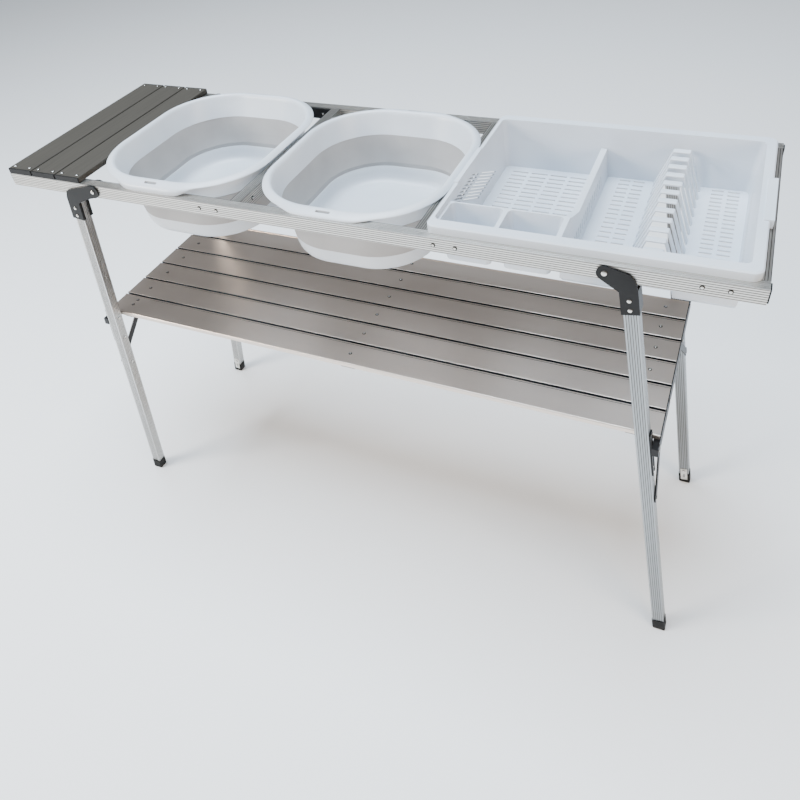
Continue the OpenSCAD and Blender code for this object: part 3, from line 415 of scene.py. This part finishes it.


# ---- Legs ----
# Four splayed legs of ribbed aluminium tube. The drawing streaks run down each leg, so the
# left and right legs have their own turn of the same finish. The right legs are painted
# darker than the left, as painted shade.

# By side, -1 left and 1 right: splay, distance of a leg's axis from its pin, and paleness, with the
# right legs painted darker as painted shade
splay = {-1: math.radians(8.0), 1: math.radians(10.2)}
axis_offset = {-1: 0.055, 1: 0.0295}
# The right legs' darker tone is painted shade.
leg_tone_with_painted_shade = {-1: (0.70, 0.69, 0.67), 1: (0.40, 0.42, 0.43)}
pin_x, pin_z = 0.450, rail_mid
corners = {"fl": (-1, -1), "rl": (-1, 1), "fr": (1, -1), "rr": (1, 1)}
leg_body = {
    "fl": "front_left_leg",
    "rl": "rear_left_leg",
    "fr": "front_right_leg",
    "rr": "rear_right_leg",
}
for corner, (side, end) in corners.items():
    a = side * splay[side]
    pin_across = side * pin_x * math.cos(splay[side]) + pin_z * math.sin(a)
    lines = ((0, pin_across + side * axis_offset[side]), (1, end * rail_y + beside))
    metal = drawn_aluminium("ribbed_leg_" + corner, (240, 240, 3), lines, a, leg_tone_with_painted_shade[side])
    finish_nodes(metal, "leg_" + corner)


def leg_point(side, end, out, across, down):
    """A point of a leg's own frame: out from the pin, across towards the middle, down the leg."""
    a = splay[side]
    return Vector(
        (
            side * (pin_x + out * math.cos(a) + down * math.sin(a)),
            end * (rail_y - across),
            pin_z + out * math.sin(a) - down * math.cos(a),
        )
    )


def leg_aim(side, end, out, across, down):
    """A direction in a leg's own frame."""
    return (leg_point(side, end, out, across, down) - leg_point(side, end, 0, 0, 0)).normalized()


def down_to(side, height):
    """How far down the leg, from the pin's level, a height above the floor lies."""
    a = splay[side]
    return (pin_z - height + axis_offset[side] * math.sin(a)) / math.cos(a)


# ---- Leg hinges ----
# Black moulded clevises. Each clasps the top of a leg and straddles the rail with two
# cheeks, and turns on a rivet through the rail.

hinge_black = moulded_black("moulded_hinge_black", 0.40)
for corner in corners:
    piece = soften("hinge_" + corner, 0.0009, hinge_black, 3, 32.0)
    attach(piece, leg_body[corner])


# ---- Feet ----
# Black rubber caps on the leg ends, and a zinc-plated steel plate riveted to the inner
# face of each leg just above the floor.

rubber, shader, add, join = new_finish("foot_rubber", (0.008, 0.008, 0.008), 0.72)
dust = grain(add, join, (1, 1, 1), 60.0, 4.0)
tint(add, join, shader, dust, (0.006, 0.006, 0.006), (0.018, 0.017, 0.015), 0.45, 0.80)
shader.inputs["Specular IOR Level"].default_value = 0.25
relief(add, join, shader, grain(add, join, (1, 1, 1), 700.0), 0.25, 0.0003)
zinc, shader, add, join = new_finish("zinc_plate", (0.74, 0.73, 0.69), 0.36, 1.0)
spangle = add("ShaderNodeTexVoronoi")
spangle.inputs["Scale"].default_value = 260.0
place = add("ShaderNodeTexCoord")
join(place, "Object", spangle, "Vector")
spread = add("ShaderNodeMapRange")
spread.inputs["To Min"].default_value = 0.26
spread.inputs["To Max"].default_value = 0.46
join(spangle, "Distance", spread, "Value")
join(spread, "Result", shader, "Roughness")
tint(add, join, shader, grain(add, join, (1, 1, 1), 90.0), (0.62, 0.61, 0.56), (0.82, 0.81, 0.78))
for corner in corners:
    piece = soften("foot_" + corner, 0.0029, rubber, 5, below=0.002)
    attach(piece, leg_body[corner])
    finish_nodes(zinc, "foot_plate_" + corner)


# ---- Shelf slats ----
# Six hollow aluminium slats with a raised edge, satin silver. The brushing runs along
# them, so they mirror the sky as soft bands.

silver, shader, add, join = new_finish("satin_silver_slat", (0.52, 0.47, 0.425), 0.36, 1.0)
brushed = grain(add, join, (5, 700, 700), 1.0, 4.0)
broad = grain(add, join, (2.0, 10, 10), 1.0, 3.0)
satin = tint(add, join, shader, broad, (0.66, 0.565, 0.49), (0.78, 0.675, 0.59), 0.30, 0.70)
vary_rough(add, join, shader, brushed, 0.30, 0.42)
relief(add, join, shader, brushed, 0.10, 0.0001)
# The facing sides of neighbouring slats are painted near black, as painted shade in the gaps
# between them.
# The outer sides of the first and the last slat lie further out than this and stay bright.
inner_reach = 0.15
place = add("ShaderNodeTexCoord")
facing = add("ShaderNodeSeparateXYZ")
join(place, "Normal", facing, "Vector")
spot = add("ShaderNodeSeparateXYZ")
join(place, "Object", spot, "Vector")
upright = math_step(add, join, "ABSOLUTE", facing, 1)
upright = math_step(add, join, "GREATER_THAN", upright, 0, facing_share)
inner = math_step(add, join, "ABSOLUTE", spot, 1)
inner = math_step(add, join, "LESS_THAN", inner, 0, inner_reach)
painted_gap_shade = math_pair(add, join, "MULTIPLY", upright, inner)
# Painted shade: the faces between neighbouring slats are painted near black.
paint_over(add, join, shader, satin, painted_gap_shade, (0.030, 0.032, 0.036))
for number in range(1, 7):
    piece = soften("shelf_slat_%d" % number, 0.0004, silver)
    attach(piece, "shelf")


# ---- Battens, arms, stays and hooks of the shelf ----
# Aluminium battens with black caps carry the slats. Black coated steel arms, diagonal
# stays and slotted hook plates hang the shelf on the pegs in the legs.

batten_lines, batten_pale = ((2, 0.507),), (0.55, 0.55, 0.55)
batten_metal = drawn_aluminium(
    "batten_aluminium", (260, 3, 260), batten_lines, light=batten_pale
)
finish_nodes(batten_metal, "batten_left", "batten_middle", "batten_right")
coated_steel, shader, add, join = new_finish("black_coated_steel", (0.008, 0.008, 0.009), 0.42)
peel = grain(add, join, (1, 1, 1), 420.0, 3.0)
vary_rough(add, join, shader, peel, 0.32, 0.50)
relief(add, join, shader, peel, 0.20, 0.0002)
patches = grain(add, join, (1, 1, 1), 35.0)
tint(add, join, shader, patches, (0.006, 0.006, 0.007), (0.013, 0.013, 0.014))
shader.inputs["Specular IOR Level"].default_value = 0.25
piece = soften("batten_caps", 0.0004, bracket_black)
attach(piece, "shelf")
for node in ("arm_left", "arm_right", "stays_left", "stays_right", "hooks_left", "hooks_right"):
    piece = soften(node, 0.0004, coated_steel)
    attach(piece, "shelf")


# ---- Rivets, hinge pins and pegs ----
# Bright steel domed rivets. One tree sets a domed head on every point, aimed along the
# point's own direction, and each body's rivets become one mesh. The band of each dome
# nearest its foot is painted dark, as painted shade and a painted dark reflection.

rivet_steel, shader, add, join = new_finish("bright_rivet_steel", (0.72, 0.70, 0.66), 0.18, 1.0)
turned = grain(add, join, (1, 1, 1), 500.0, 3.0)
vary_rough(add, join, shader, turned, 0.16, 0.34)
relief(add, join, shader, turned, 0.10, 0.0001)
patches = grain(add, join, (1, 1, 1), 120.0)
tint(add, join, shader, patches, (0.60, 0.58, 0.54), (0.80, 0.78, 0.74))
# Painted shade and painted dark reflection: the dark band round the foot of each rivet head.
rivet_rim_shade, shader, add, join = new_finish("rivet_rim_painted_shade", (0.035, 0.031, 0.027), 0.45, 0.6)
patches = grain(add, join, (1, 1, 1), 200.0)
tint(add, join, shader, patches, (0.022, 0.019, 0.016), (0.055, 0.049, 0.042))

dome_tree = bpy.data.node_groups.new("domed_rivets", "GeometryNodeTree")


def add_socket(name, kind, way="INPUT"):
    """A named socket of the rivet tree."""
    return dome_tree.interface.new_socket(name, in_out=way, socket_type="NodeSocket" + kind)


add_socket("Geometry", "Geometry")
side_socket = add_socket("Sides", "Int")
ring_socket = add_socket("Rings", "Int")
metal_socket = add_socket("Metal", "Material")
rim_shade_socket = add_socket("Rim", "Material")
rim_shade_height_socket = add_socket("Rim height", "Float")
add_socket("Geometry", "Geometry", "OUTPUT")


group_in = grow(dome_tree, "NodeGroupInput")
group_out = grow(dome_tree, "NodeGroupOutput")
ball = grow(dome_tree, "GeometryNodeMeshUVSphere")
ball.inputs["Radius"].default_value = 1.0
set_dome = grow(dome_tree, "GeometryNodeInstanceOnPoints")
aim = grow(dome_tree, "GeometryNodeInputNamedAttribute", data_type="FLOAT_VECTOR")
aim.inputs["Name"].default_value = "aim"
size = grow(dome_tree, "GeometryNodeInputNamedAttribute", data_type="FLOAT_VECTOR")
size.inputs["Name"].default_value = "size"
turn = grow(dome_tree, "FunctionNodeAlignEulerToVector", axis="Z")
real = grow(dome_tree, "GeometryNodeRealizeInstances")
paint = grow(dome_tree, "GeometryNodeSetMaterial")
paint_rim_shade = grow(dome_tree, "GeometryNodeSetMaterial")
spot = grow(dome_tree, "GeometryNodeInputPosition")
height = grow(dome_tree, "ShaderNodeSeparateXYZ")
near = grow(dome_tree, "ShaderNodeMath", operation="ABSOLUTE")
low = grow(dome_tree, "ShaderNodeMath", operation="LESS_THAN")
# The faces nearest the dome's foot are marked for the painted shade.
keep_rim_shade = grow(dome_tree, "GeometryNodeStoreNamedAttribute", data_type="BOOLEAN", domain="FACE")
keep_rim_shade.inputs["Name"].default_value = "rim"
read_rim_shade = grow(dome_tree, "GeometryNodeInputNamedAttribute", data_type="BOOLEAN")
read_rim_shade.inputs["Name"].default_value = "rim"
smooth = grow(dome_tree, "GeometryNodeSetShadeSmooth")
link = dome_tree.links.new
link(group_in.outputs["Geometry"], set_dome.inputs["Points"])
link(group_in.outputs["Sides"], ball.inputs["Segments"])
link(group_in.outputs["Rings"], ball.inputs["Rings"])
link(ball.outputs["Mesh"], smooth.inputs["Geometry"])
link(smooth.outputs["Geometry"], keep_rim_shade.inputs["Geometry"])
link(spot.outputs["Position"], height.inputs["Vector"])
link(height.outputs["Z"], near.inputs[0])
link(near.outputs["Value"], low.inputs[0])
link(group_in.outputs["Rim height"], low.inputs[1])
link(low.outputs["Value"], keep_rim_shade.inputs["Value"])
link(keep_rim_shade.outputs["Geometry"], set_dome.inputs["Instance"])
link(aim.outputs["Attribute"], turn.inputs["Vector"])
link(turn.outputs["Rotation"], set_dome.inputs["Rotation"])
link(size.outputs["Attribute"], set_dome.inputs["Scale"])
link(set_dome.outputs["Instances"], real.inputs["Geometry"])
link(real.outputs["Geometry"], paint.inputs["Geometry"])
link(group_in.outputs["Metal"], paint.inputs["Material"])
link(paint.outputs["Geometry"], paint_rim_shade.inputs["Geometry"])
link(read_rim_shade.outputs["Attribute"], paint_rim_shade.inputs["Selection"])
link(group_in.outputs["Rim"], paint_rim_shade.inputs["Material"])
link(paint_rim_shade.outputs["Geometry"], group_out.inputs["Geometry"])

dome_sides, dome_rings = 20, 10
# Share of a dome's height that its dark rim, painted shade and a painted dark reflection round the
# head's foot, takes up: usual, and on rail and shelf rivets
rim_shade_usual, rim_shade_wide = 0.55, 0.72


def set_rivets(name, body, points, *nodes, rim_shade_height=rim_shade_usual):
    """Domed heads at points, each a place, a direction, a radius and a height."""
    mesh = bpy.data.meshes.new(name)
    mesh.from_pydata([tuple(p[0]) for p in points], [], [])
    aims = mesh.attributes.new("aim", "FLOAT_VECTOR", "POINT")
    aims.data.foreach_set("vector", [c for p in points for c in Vector(p[1]).normalized()])
    sizes = mesh.attributes.new("size", "FLOAT_VECTOR", "POINT")
    sizes.data.foreach_set("vector", [c for p in points for c in (p[2], p[2], p[3])])
    piece = add_piece(name, mesh)
    grower = piece.modifiers.new("heads", "NODES")
    grower.node_group = dome_tree
    grower[side_socket.identifier] = dome_sides
    grower[ring_socket.identifier] = dome_rings
    grower[metal_socket.identifier] = rivet_steel
    grower[rim_shade_socket.identifier] = rivet_rim_shade
    grower[rim_shade_height_socket.identifier] = rim_shade_height
    settle(piece)
    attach(piece, body)
    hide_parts(*nodes)


# Radius and height of each kind of head
head, tail = (0.0036, 0.0016), (0.0032, 0.0012)
pin_head, pin_tail = (0.0046, 0.0018), (0.0046 * 0.9, 0.0014)
peg_end, peg_tail = (0.003, 0.0024), (0.004, 0.0012)
screw_head = (0.0024, 0.0015)

# Rivets of the corner brackets, two through a rail and one through a bar
bracket_side = {"cross_bar_left": -1, "cross_bar_middle": 1, "end_bar": -1}
first_rivet = {"cross_bar_left": 0.020, "cross_bar_middle": 0.016, "end_bar": 0.024}
rivet_pitch, half_tube, bracket_t, bar_rivet_y = 0.034, 0.0095, 0.003, 0.150
rail_in, rail_out = 0.184, 0.203
heads = []
for bar, x in bar_x.items():
    side = bracket_side[bar]
    for end in (-1, 1):
        for k in (0, 1):
            rivet_x = x + side * (half_tube + first_rivet[bar] + k * rivet_pitch)
            heads.append(((rivet_x, end * rail_out, rail_mid), (0, end, 0), *head))
            inside = (rivet_x, end * (rail_in - bracket_t), rail_mid)
            heads.append((inside, (0, -end, 0), *tail))
        outside = (x - side * half_tube, end * bar_rivet_y, rail_mid)
        heads.append((outside, (-side, 0, 0), *head))
        inside = (x + side * (half_tube + bracket_t), end * bar_rivet_y, rail_mid)
        heads.append((inside, (side, 0, 0), *tail))
set_rivets("frame_rivet_heads", "frame", heads, "frame_rivets", rim_shade_height=rim_shade_wide)

# Two rivets at each end of a side slat
slat_x0, slat_pitch, slat_rivet, slat_top = -0.6224, 0.0582, 0.018, 0.8585
heads = [
    ((slat_x0 + k * slat_pitch + s * slat_rivet, end * rail_y, slat_top), (0, 0, 1), *head)
    for k in range(3)
    for s in (-1, 1)
    for end in (-1, 1)
]
set_rivets("side_slat_rivet_heads", "frame", heads, "side_slat_rivets")

# Hinge pins, outside and inside each rail
cheek_face = 0.0127
heads = []
for side in (-1, 1):
    for end in (-1, 1):
        outside = (side * pin_x, end * (rail_y + cheek_face), pin_z)
        heads.append((outside, (0, end, 0), *pin_head))
        inside = (side * pin_x, end * (rail_y - cheek_face), pin_z)
        heads.append((inside, (0, -end, 0), *pin_tail))
set_rivets("hinge_pin_heads", "frame", heads, "hinge_pins")


def leg_head(side, end, spot, way, size):
    """A head on a leg, its spot and its direction in the leg's own frame."""
    return (leg_point(side, end, *spot), leg_aim(side, end, *way), *size)


# Two rivets through each hinge, three pegs through each leg, and the rivet of its foot plate
leg_half, cheek_end, cheek_rivets = 0.0105, {-1: 0.074, 1: 0.069}, (0.024, 0.008)
peg_heights, plate_t, plate_rivet_z = (0.515, 0.460, 0.385), 0.0012, 0.038
for corner, (side, end) in corners.items():
    off = axis_offset[side]
    heads = []
    for back in cheek_rivets:
        down = cheek_end[side] - back
        heads.append(leg_head(side, end, (off, -cheek_face, down), (0, -1, 0), head))
        heads.append(leg_head(side, end, (off, cheek_face, down), (0, 1, 0), tail))
    for height in peg_heights:
        down = down_to(side, height)
        heads.append(leg_head(side, end, (off - leg_half, 0, down), (-1, 0, 0), peg_tail))
        heads.append(leg_head(side, end, (off + leg_half, 0, down), (1, 0, 0), peg_end))
    on_plate = (off, half_tube + plate_t, down_to(side, plate_rivet_z))
    heads.append(leg_head(side, end, on_plate, (0, 1, 0), tail))
    set_rivets("leg_rivet_heads_" + corner, leg_body[corner], heads, "leg_rivets_" + corner)

# One rivet where a shelf slat crosses a batten, and one more at the front left
shelf_top, dish, shelf_pitch, extra_y = 0.5235, 0.0008, 0.061, 0.016
batten_x = (-0.531, -0.005, 0.521)
shelf_rows = [(k - 2.5) * shelf_pitch for k in range(6)]
heads = [((x, y, shelf_top - dish), (0, 0, 1), *head) for y in shelf_rows for x in batten_x]
heads.append(((batten_x[0], shelf_rows[0] + extra_y, shelf_top - dish), (0, 0, 1), *head))
set_rivets("shelf_rivet_heads", "shelf", heads, "shelf_rivets", rim_shade_height=rim_shade_wide)

# Screws under the arms, rivets of the stays and pins of the hook plates
arm_bottom, screw_x = 0.498, {-1: -0.569, 1: 0.5575}
stay_y, stay_z, small_y, small_z = 0.080, 0.5034, 0.0059, 0.505
hook_gap, hook_t, arm_w = 0.0003, 0.0024, 0.010
heads = []
for side in (-1, 1):
    off = axis_offset[side] + leg_half + hook_gap + hook_t + arm_w
    for y in shelf_rows:
        heads.append(((screw_x[side], y, arm_bottom), (0, 0, -1), *screw_head))
    for end in (-1, 1):
        across, down = rail_y - stay_y, down_to(side, stay_z)
        heads.append(leg_head(side, end, (off, across, down), (1, 0, 0), head))
        behind = off - hook_t - arm_w
        heads.append(leg_head(side, end, (behind, across, down), (-1, 0, 0), tail))
        for s in (-1, 1):
            spot = (off, s * small_y, down_to(side, small_z))
            heads.append(leg_head(side, end, spot, (1, 0, 0), screw_head))
set_rivets("shelf_fixing_heads", "shelf", heads, "arm_fixings")


# ---- Collapsible basins ----
# Two white basins. Each is moulded in three: a stiff rim with down-turned handles, a soft
# grey band that folds, and a stiff base. All three are rings of one rounded outline.

corner_steps = 40


def outline(hx, hy, r):
    """Points round a rectangle with rounded corners, counter-clockwise."""
    points = []
    for sx, sy, start in ((1, 1, 0), (-1, 1, 90), (-1, -1, 180), (1, -1, 270)):
        for k in range(corner_steps + 1):
            a = math.radians(start + 90.0 * k / corner_steps)
            points.append((sx * (hx - r) + r * math.cos(a), sy * (hy - r) + r * math.sin(a)))
    return points


def loft(name, rings, closed=False, floor_first=False, floor_last=False):
    """A skin over rings of equal count, closed into a loop or capped at its ends."""
    count = len(rings[0])
    vertices = [p for ring in rings for p in ring]
    faces = []
    pairs = list(zip(range(len(rings) - 1), range(1, len(rings))))
    if closed:
        pairs.append((len(rings) - 1, 0))
    for a, b in pairs:
        for k in range(count):
            m = (k + 1) % count
            faces.append((a * count + k, a * count + m, b * count + m, b * count + k))
    if floor_first:
        faces.append(tuple(reversed(range(count))))
    if floor_last:
        faces.append(tuple((len(rings) - 1) * count + k for k in range(count)))
    mesh = bpy.data.meshes.new(name)
    mesh.from_pydata(vertices, [], faces)
    work = bmesh.new()
    work.from_mesh(mesh)
    bmesh.ops.remove_doubles(work, verts=work.verts, dist=1e-6)
    bmesh.ops.recalc_face_normals(work, faces=work.faces)
    work.to_mesh(mesh)
    work.free()
    return mesh


def moulded_white(name, low, high, rough, cloud_scale=9.0):
    """White polypropylene, faintly cloudy, with the slight ripple of a mould."""
    finish, shader, add, join = new_finish(name, high, rough)
    cloud = grain(add, join, (1, 1, 1), cloud_scale, 3.0)
    tint(add, join, shader, cloud, low, high, 0.30, 0.70)
    ripple = grain(add, join, (1, 1, 1), 240.0, 2.0)
    vary_rough(add, join, shader, ripple, rough - 0.06, rough + 0.08)
    relief(add, join, shader, ripple, 0.08, 0.0002)
    shader.inputs["Subsurface Weight"].default_value = 0.12
    shader.inputs["Subsurface Radius"].default_value = (0.004, 0.0045, 0.005)
    shader.inputs["Subsurface Scale"].default_value = 1.0
    return finish


basin_white = moulded_white("basin_white", (0.585, 0.62, 0.665), (0.655, 0.685, 0.72), 0.32)
band_soft, shader, add, join = new_finish("soft_band_grey", (0.36, 0.345, 0.335), 0.55)
tint(add, join, shader, grain(add, join, (1, 1, 1), 12.0), (0.335, 0.32, 0.31), (0.385, 0.37, 0.36))
fine = grain(add, join, (1, 1, 1), 800.0, 2.0)
vary_rough(add, join, shader, fine, 0.48, 0.62)
relief(add, join, shader, fine, 0.12, 0.0002)

handle_y, handle_arc, handle_in, handle_out = 0.201, 0.420, 0.050, 0.090
rail_top, lip_z = 0.848, 0.8587
# Only the front and the rear of a basin, further out than this, have handles
handle_from = 0.1


def handle_share(x):
    """1 on a handle, 0 away from it, and a smooth change between."""
    t = min(1.0, max(0.0, (handle_out - abs(x)) / (handle_out - handle_in)))
    return t * t * (3 - 2 * t)


# Each step of the rim, for a crest at 865 mm: height, half sides, corner radius, share of the
# handle's reach and share of its drop
rim_steps = [
    (0.8230, 0.1457, 0.1627, 0.1122, 0.0, 0.0),
    (0.8420, 0.1492, 0.1697, 0.1146, 0.0, 0.0),
    (0.8570, 0.1518, 0.1748, 0.1164, 0.0, 0.0),
    (0.8612, 0.1530, 0.1762, 0.1176, 0.0, 0.0),
    (0.8638, 0.1549, 0.1780, 0.1194, 0.0, 0.0),
    (0.8648, 0.1574, 0.1803, 0.1216, 0.0, 0.0),
    (0.8645, 0.1602, 0.1834, 0.1240, 0.10, 0.03),
    (0.8630, 0.1632, 0.1872, 0.1264, 0.36, 0.12),
    (0.8614, 0.1654, 0.1904, 0.1284, 0.66, 0.24),
    (0.8603, 0.1664, 0.1920, 0.1294, 0.86, 0.38),
    (0.8597, 0.1668, 0.1928, 0.1300, 0.97, 0.56),
    (0.8591, 0.1669, 0.1929, 0.1300, 1.0, 0.80),
    (0.8589, 0.1664, 0.1924, 0.1298, 0.99, 1.0),
    (0.8589, 0.1652, 0.1910, 0.1288, 0.92, 1.0),
    (0.8592, 0.1642, 0.1898, 0.1280, 0.82, 0.70),
    (0.8598, 0.1620, 0.1872, 0.1260, 0.60, 0.30),
    (0.8600, 0.1580, 0.1820, 0.1220, 0.14, 0.05),
    (0.8590, 0.1556, 0.1796, 0.1200, 0.02, 0.0),
    (0.8550, 0.1538, 0.1768, 0.1185, 0.0, 0.0),
    (0.8400, 0.1510, 0.1712, 0.1162, 0.0, 0.0),
    (0.8232, 0.1476, 0.1646, 0.1140, 0.0, 0.0),
]
band_steps = [
    (0.8229, 0.1473, 0.1643, 0.1118),
    (0.8140, 0.1452, 0.1624, 0.1104),
    (0.8040, 0.1429, 0.1608, 0.1088),
    (0.7880, 0.1393, 0.1575, 0.1064),
    (0.7740, 0.1364, 0.1551, 0.1044),
    (0.7700, 0.1357, 0.1545, 0.1038),
    (0.7630, 0.1338, 0.1528, 0.1000),
    (0.7631, 0.1322, 0.1512, 0.0985),
    (0.7690, 0.1334, 0.1522, 0.1016),
    (0.7702, 0.1330, 0.1518, 0.1016),
    (0.7716, 0.1337, 0.1525, 0.1020),
    (0.7880, 0.1374, 0.1557, 0.1046),
    (0.8040, 0.1411, 0.1590, 0.1070),
    (0.8140, 0.1435, 0.1608, 0.1088),
    (0.8229, 0.1455, 0.1626, 0.1102),
]
base_steps = [
    (0.7629, 0.1338, 0.1528, 0.0998),
    (0.7480, 0.1318, 0.1508, 0.0985),
    (0.7390, 0.1298, 0.1486, 0.0970),
    (0.7340, 0.1274, 0.1458, 0.0950),
    (0.7312, 0.1242, 0.1424, 0.0925),
    (0.7302, 0.1205, 0.1385, 0.0900),
    (0.7301, 0.1120, 0.1300, 0.0840),
    (0.7312, 0.1100, 0.1280, 0.0820),
]
bowl_steps = [
    (0.7332, 0.1140, 0.1320, 0.0860),
    (0.7345, 0.1190, 0.1372, 0.0890),
    (0.7380, 0.1238, 0.1424, 0.0925),
    (0.7430, 0.1268, 0.1456, 0.0950),
    (0.7520, 0.1287, 0.1476, 0.0960),
    (0.7600, 0.1301, 0.1490, 0.0968),
    (0.7628, 0.1312, 0.1502, 0.0975),
]


def basin_ring(x0, rise, step):
    """One ring of a basin, with the handles drawn out of its front and rear."""
    z, hx, hy, r = step[:4]
    reach, drop = (step[4], step[5]) if len(step) > 4 else (0.0, 0.0)
    lip_drop = lip_z + rise - rail_top
    ring = []
    for x, y in outline(hx, hy, r):
        share = handle_share(x) * (abs(y) > handle_from)
        arc_y = handle_y - handle_arc + math.sqrt(handle_arc**2 - x * x)
        out = max(0.0, arc_y - abs(y)) * share * reach
        fall = drop * lip_drop * share
        ring.append((x0 + x, y + math.copysign(out, y), z + rise - fall))
    return ring


def cut_away(piece, *cutters):
    """Cuts the cutters out of a piece and removes them."""
    for cutter in cutters:
        knife = piece.modifiers.new("cut", "BOOLEAN")
        knife.operation = "DIFFERENCE"
        knife.solver = "EXACT"
        knife.object = cutter
    settle(piece)
    for cutter in cutters:
        bpy.data.objects.remove(cutter)


slot_y, slot_half, slot_r, slot_sides = 0.189, 0.013, 0.0025, 24
knife_low, knife_high = rail_top + 0.001, 0.870
for number, x0, rise in ((1, -0.3219, 0.0), (2, 0.0141, -0.008)):
    rim_mesh = loft("rim", [basin_ring(x0, rise, step) for step in rim_steps], closed=True)
    rim_mesh.materials.append(basin_white)
    rim = add_piece("basin_%d_rim_piece" % number, rim_mesh)
    cutters = []
    for end in (-1, 1):
        line = []
        for k in range(slot_sides):
            a = math.radians(k * 360.0 / slot_sides)
            round_x = math.copysign(slot_half - slot_r, math.cos(a)) + slot_r * math.cos(a)
            line.append((x0 + round_x, end * slot_y + slot_r * math.sin(a)))
        rings = [[(x, y, z) for x, y in line] for z in (knife_low, knife_high)]
        knife_mesh = loft("knife", rings, floor_first=True, floor_last=True)
        cutters.append(add_piece("knife", knife_mesh))
    cut_away(rim, *cutters)
    smooth_by_angle(rim, 50.0)
    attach(rim, "basin_%d" % number)
    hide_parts("basin_%d_rim" % number)

    band_mesh = loft("band", [basin_ring(x0, rise, step) for step in band_steps], closed=True)
    band_mesh.materials.append(band_soft)
    band = add_piece("basin_%d_band_piece" % number, band_mesh)
    smooth_by_angle(band, 50.0)
    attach(band, "basin_%d" % number)
    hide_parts("basin_%d_band" % number)
    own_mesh(band)

    rings = [basin_ring(x0, rise, step) for step in reversed(base_steps)]
    rings += [basin_ring(x0, rise, step) for step in reversed(bowl_steps)]
    base_mesh = loft("base", rings, floor_first=True, floor_last=True)
    base_mesh.materials.append(basin_white)
    base = add_piece("basin_%d_base_piece" % number, base_mesh)
    smooth_by_angle(base, 50.0)
    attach(base, "basin_%d_bottom" % number)
    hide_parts("basin_%d_base" % number)


# ---- Dish rack ----
# A white moulded tray that hangs on the rails by its rim. The floor, divider and end wall
# are slotted so that water drains, and two cutlery trays are moulded into a corner.

rack_white = moulded_white("rack_white", (0.585, 0.63, 0.69), (0.66, 0.70, 0.75), 0.36, 6.0)
rack_soft_from = 0.8475
piece = soften("dish_rack", 0.0010, rack_white, 2, 25.0, rack_soft_from)
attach(piece, "rack")
piece = soften("rack_arches", 0.0012, rack_white, 3, 25.0)
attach(piece, "rack")
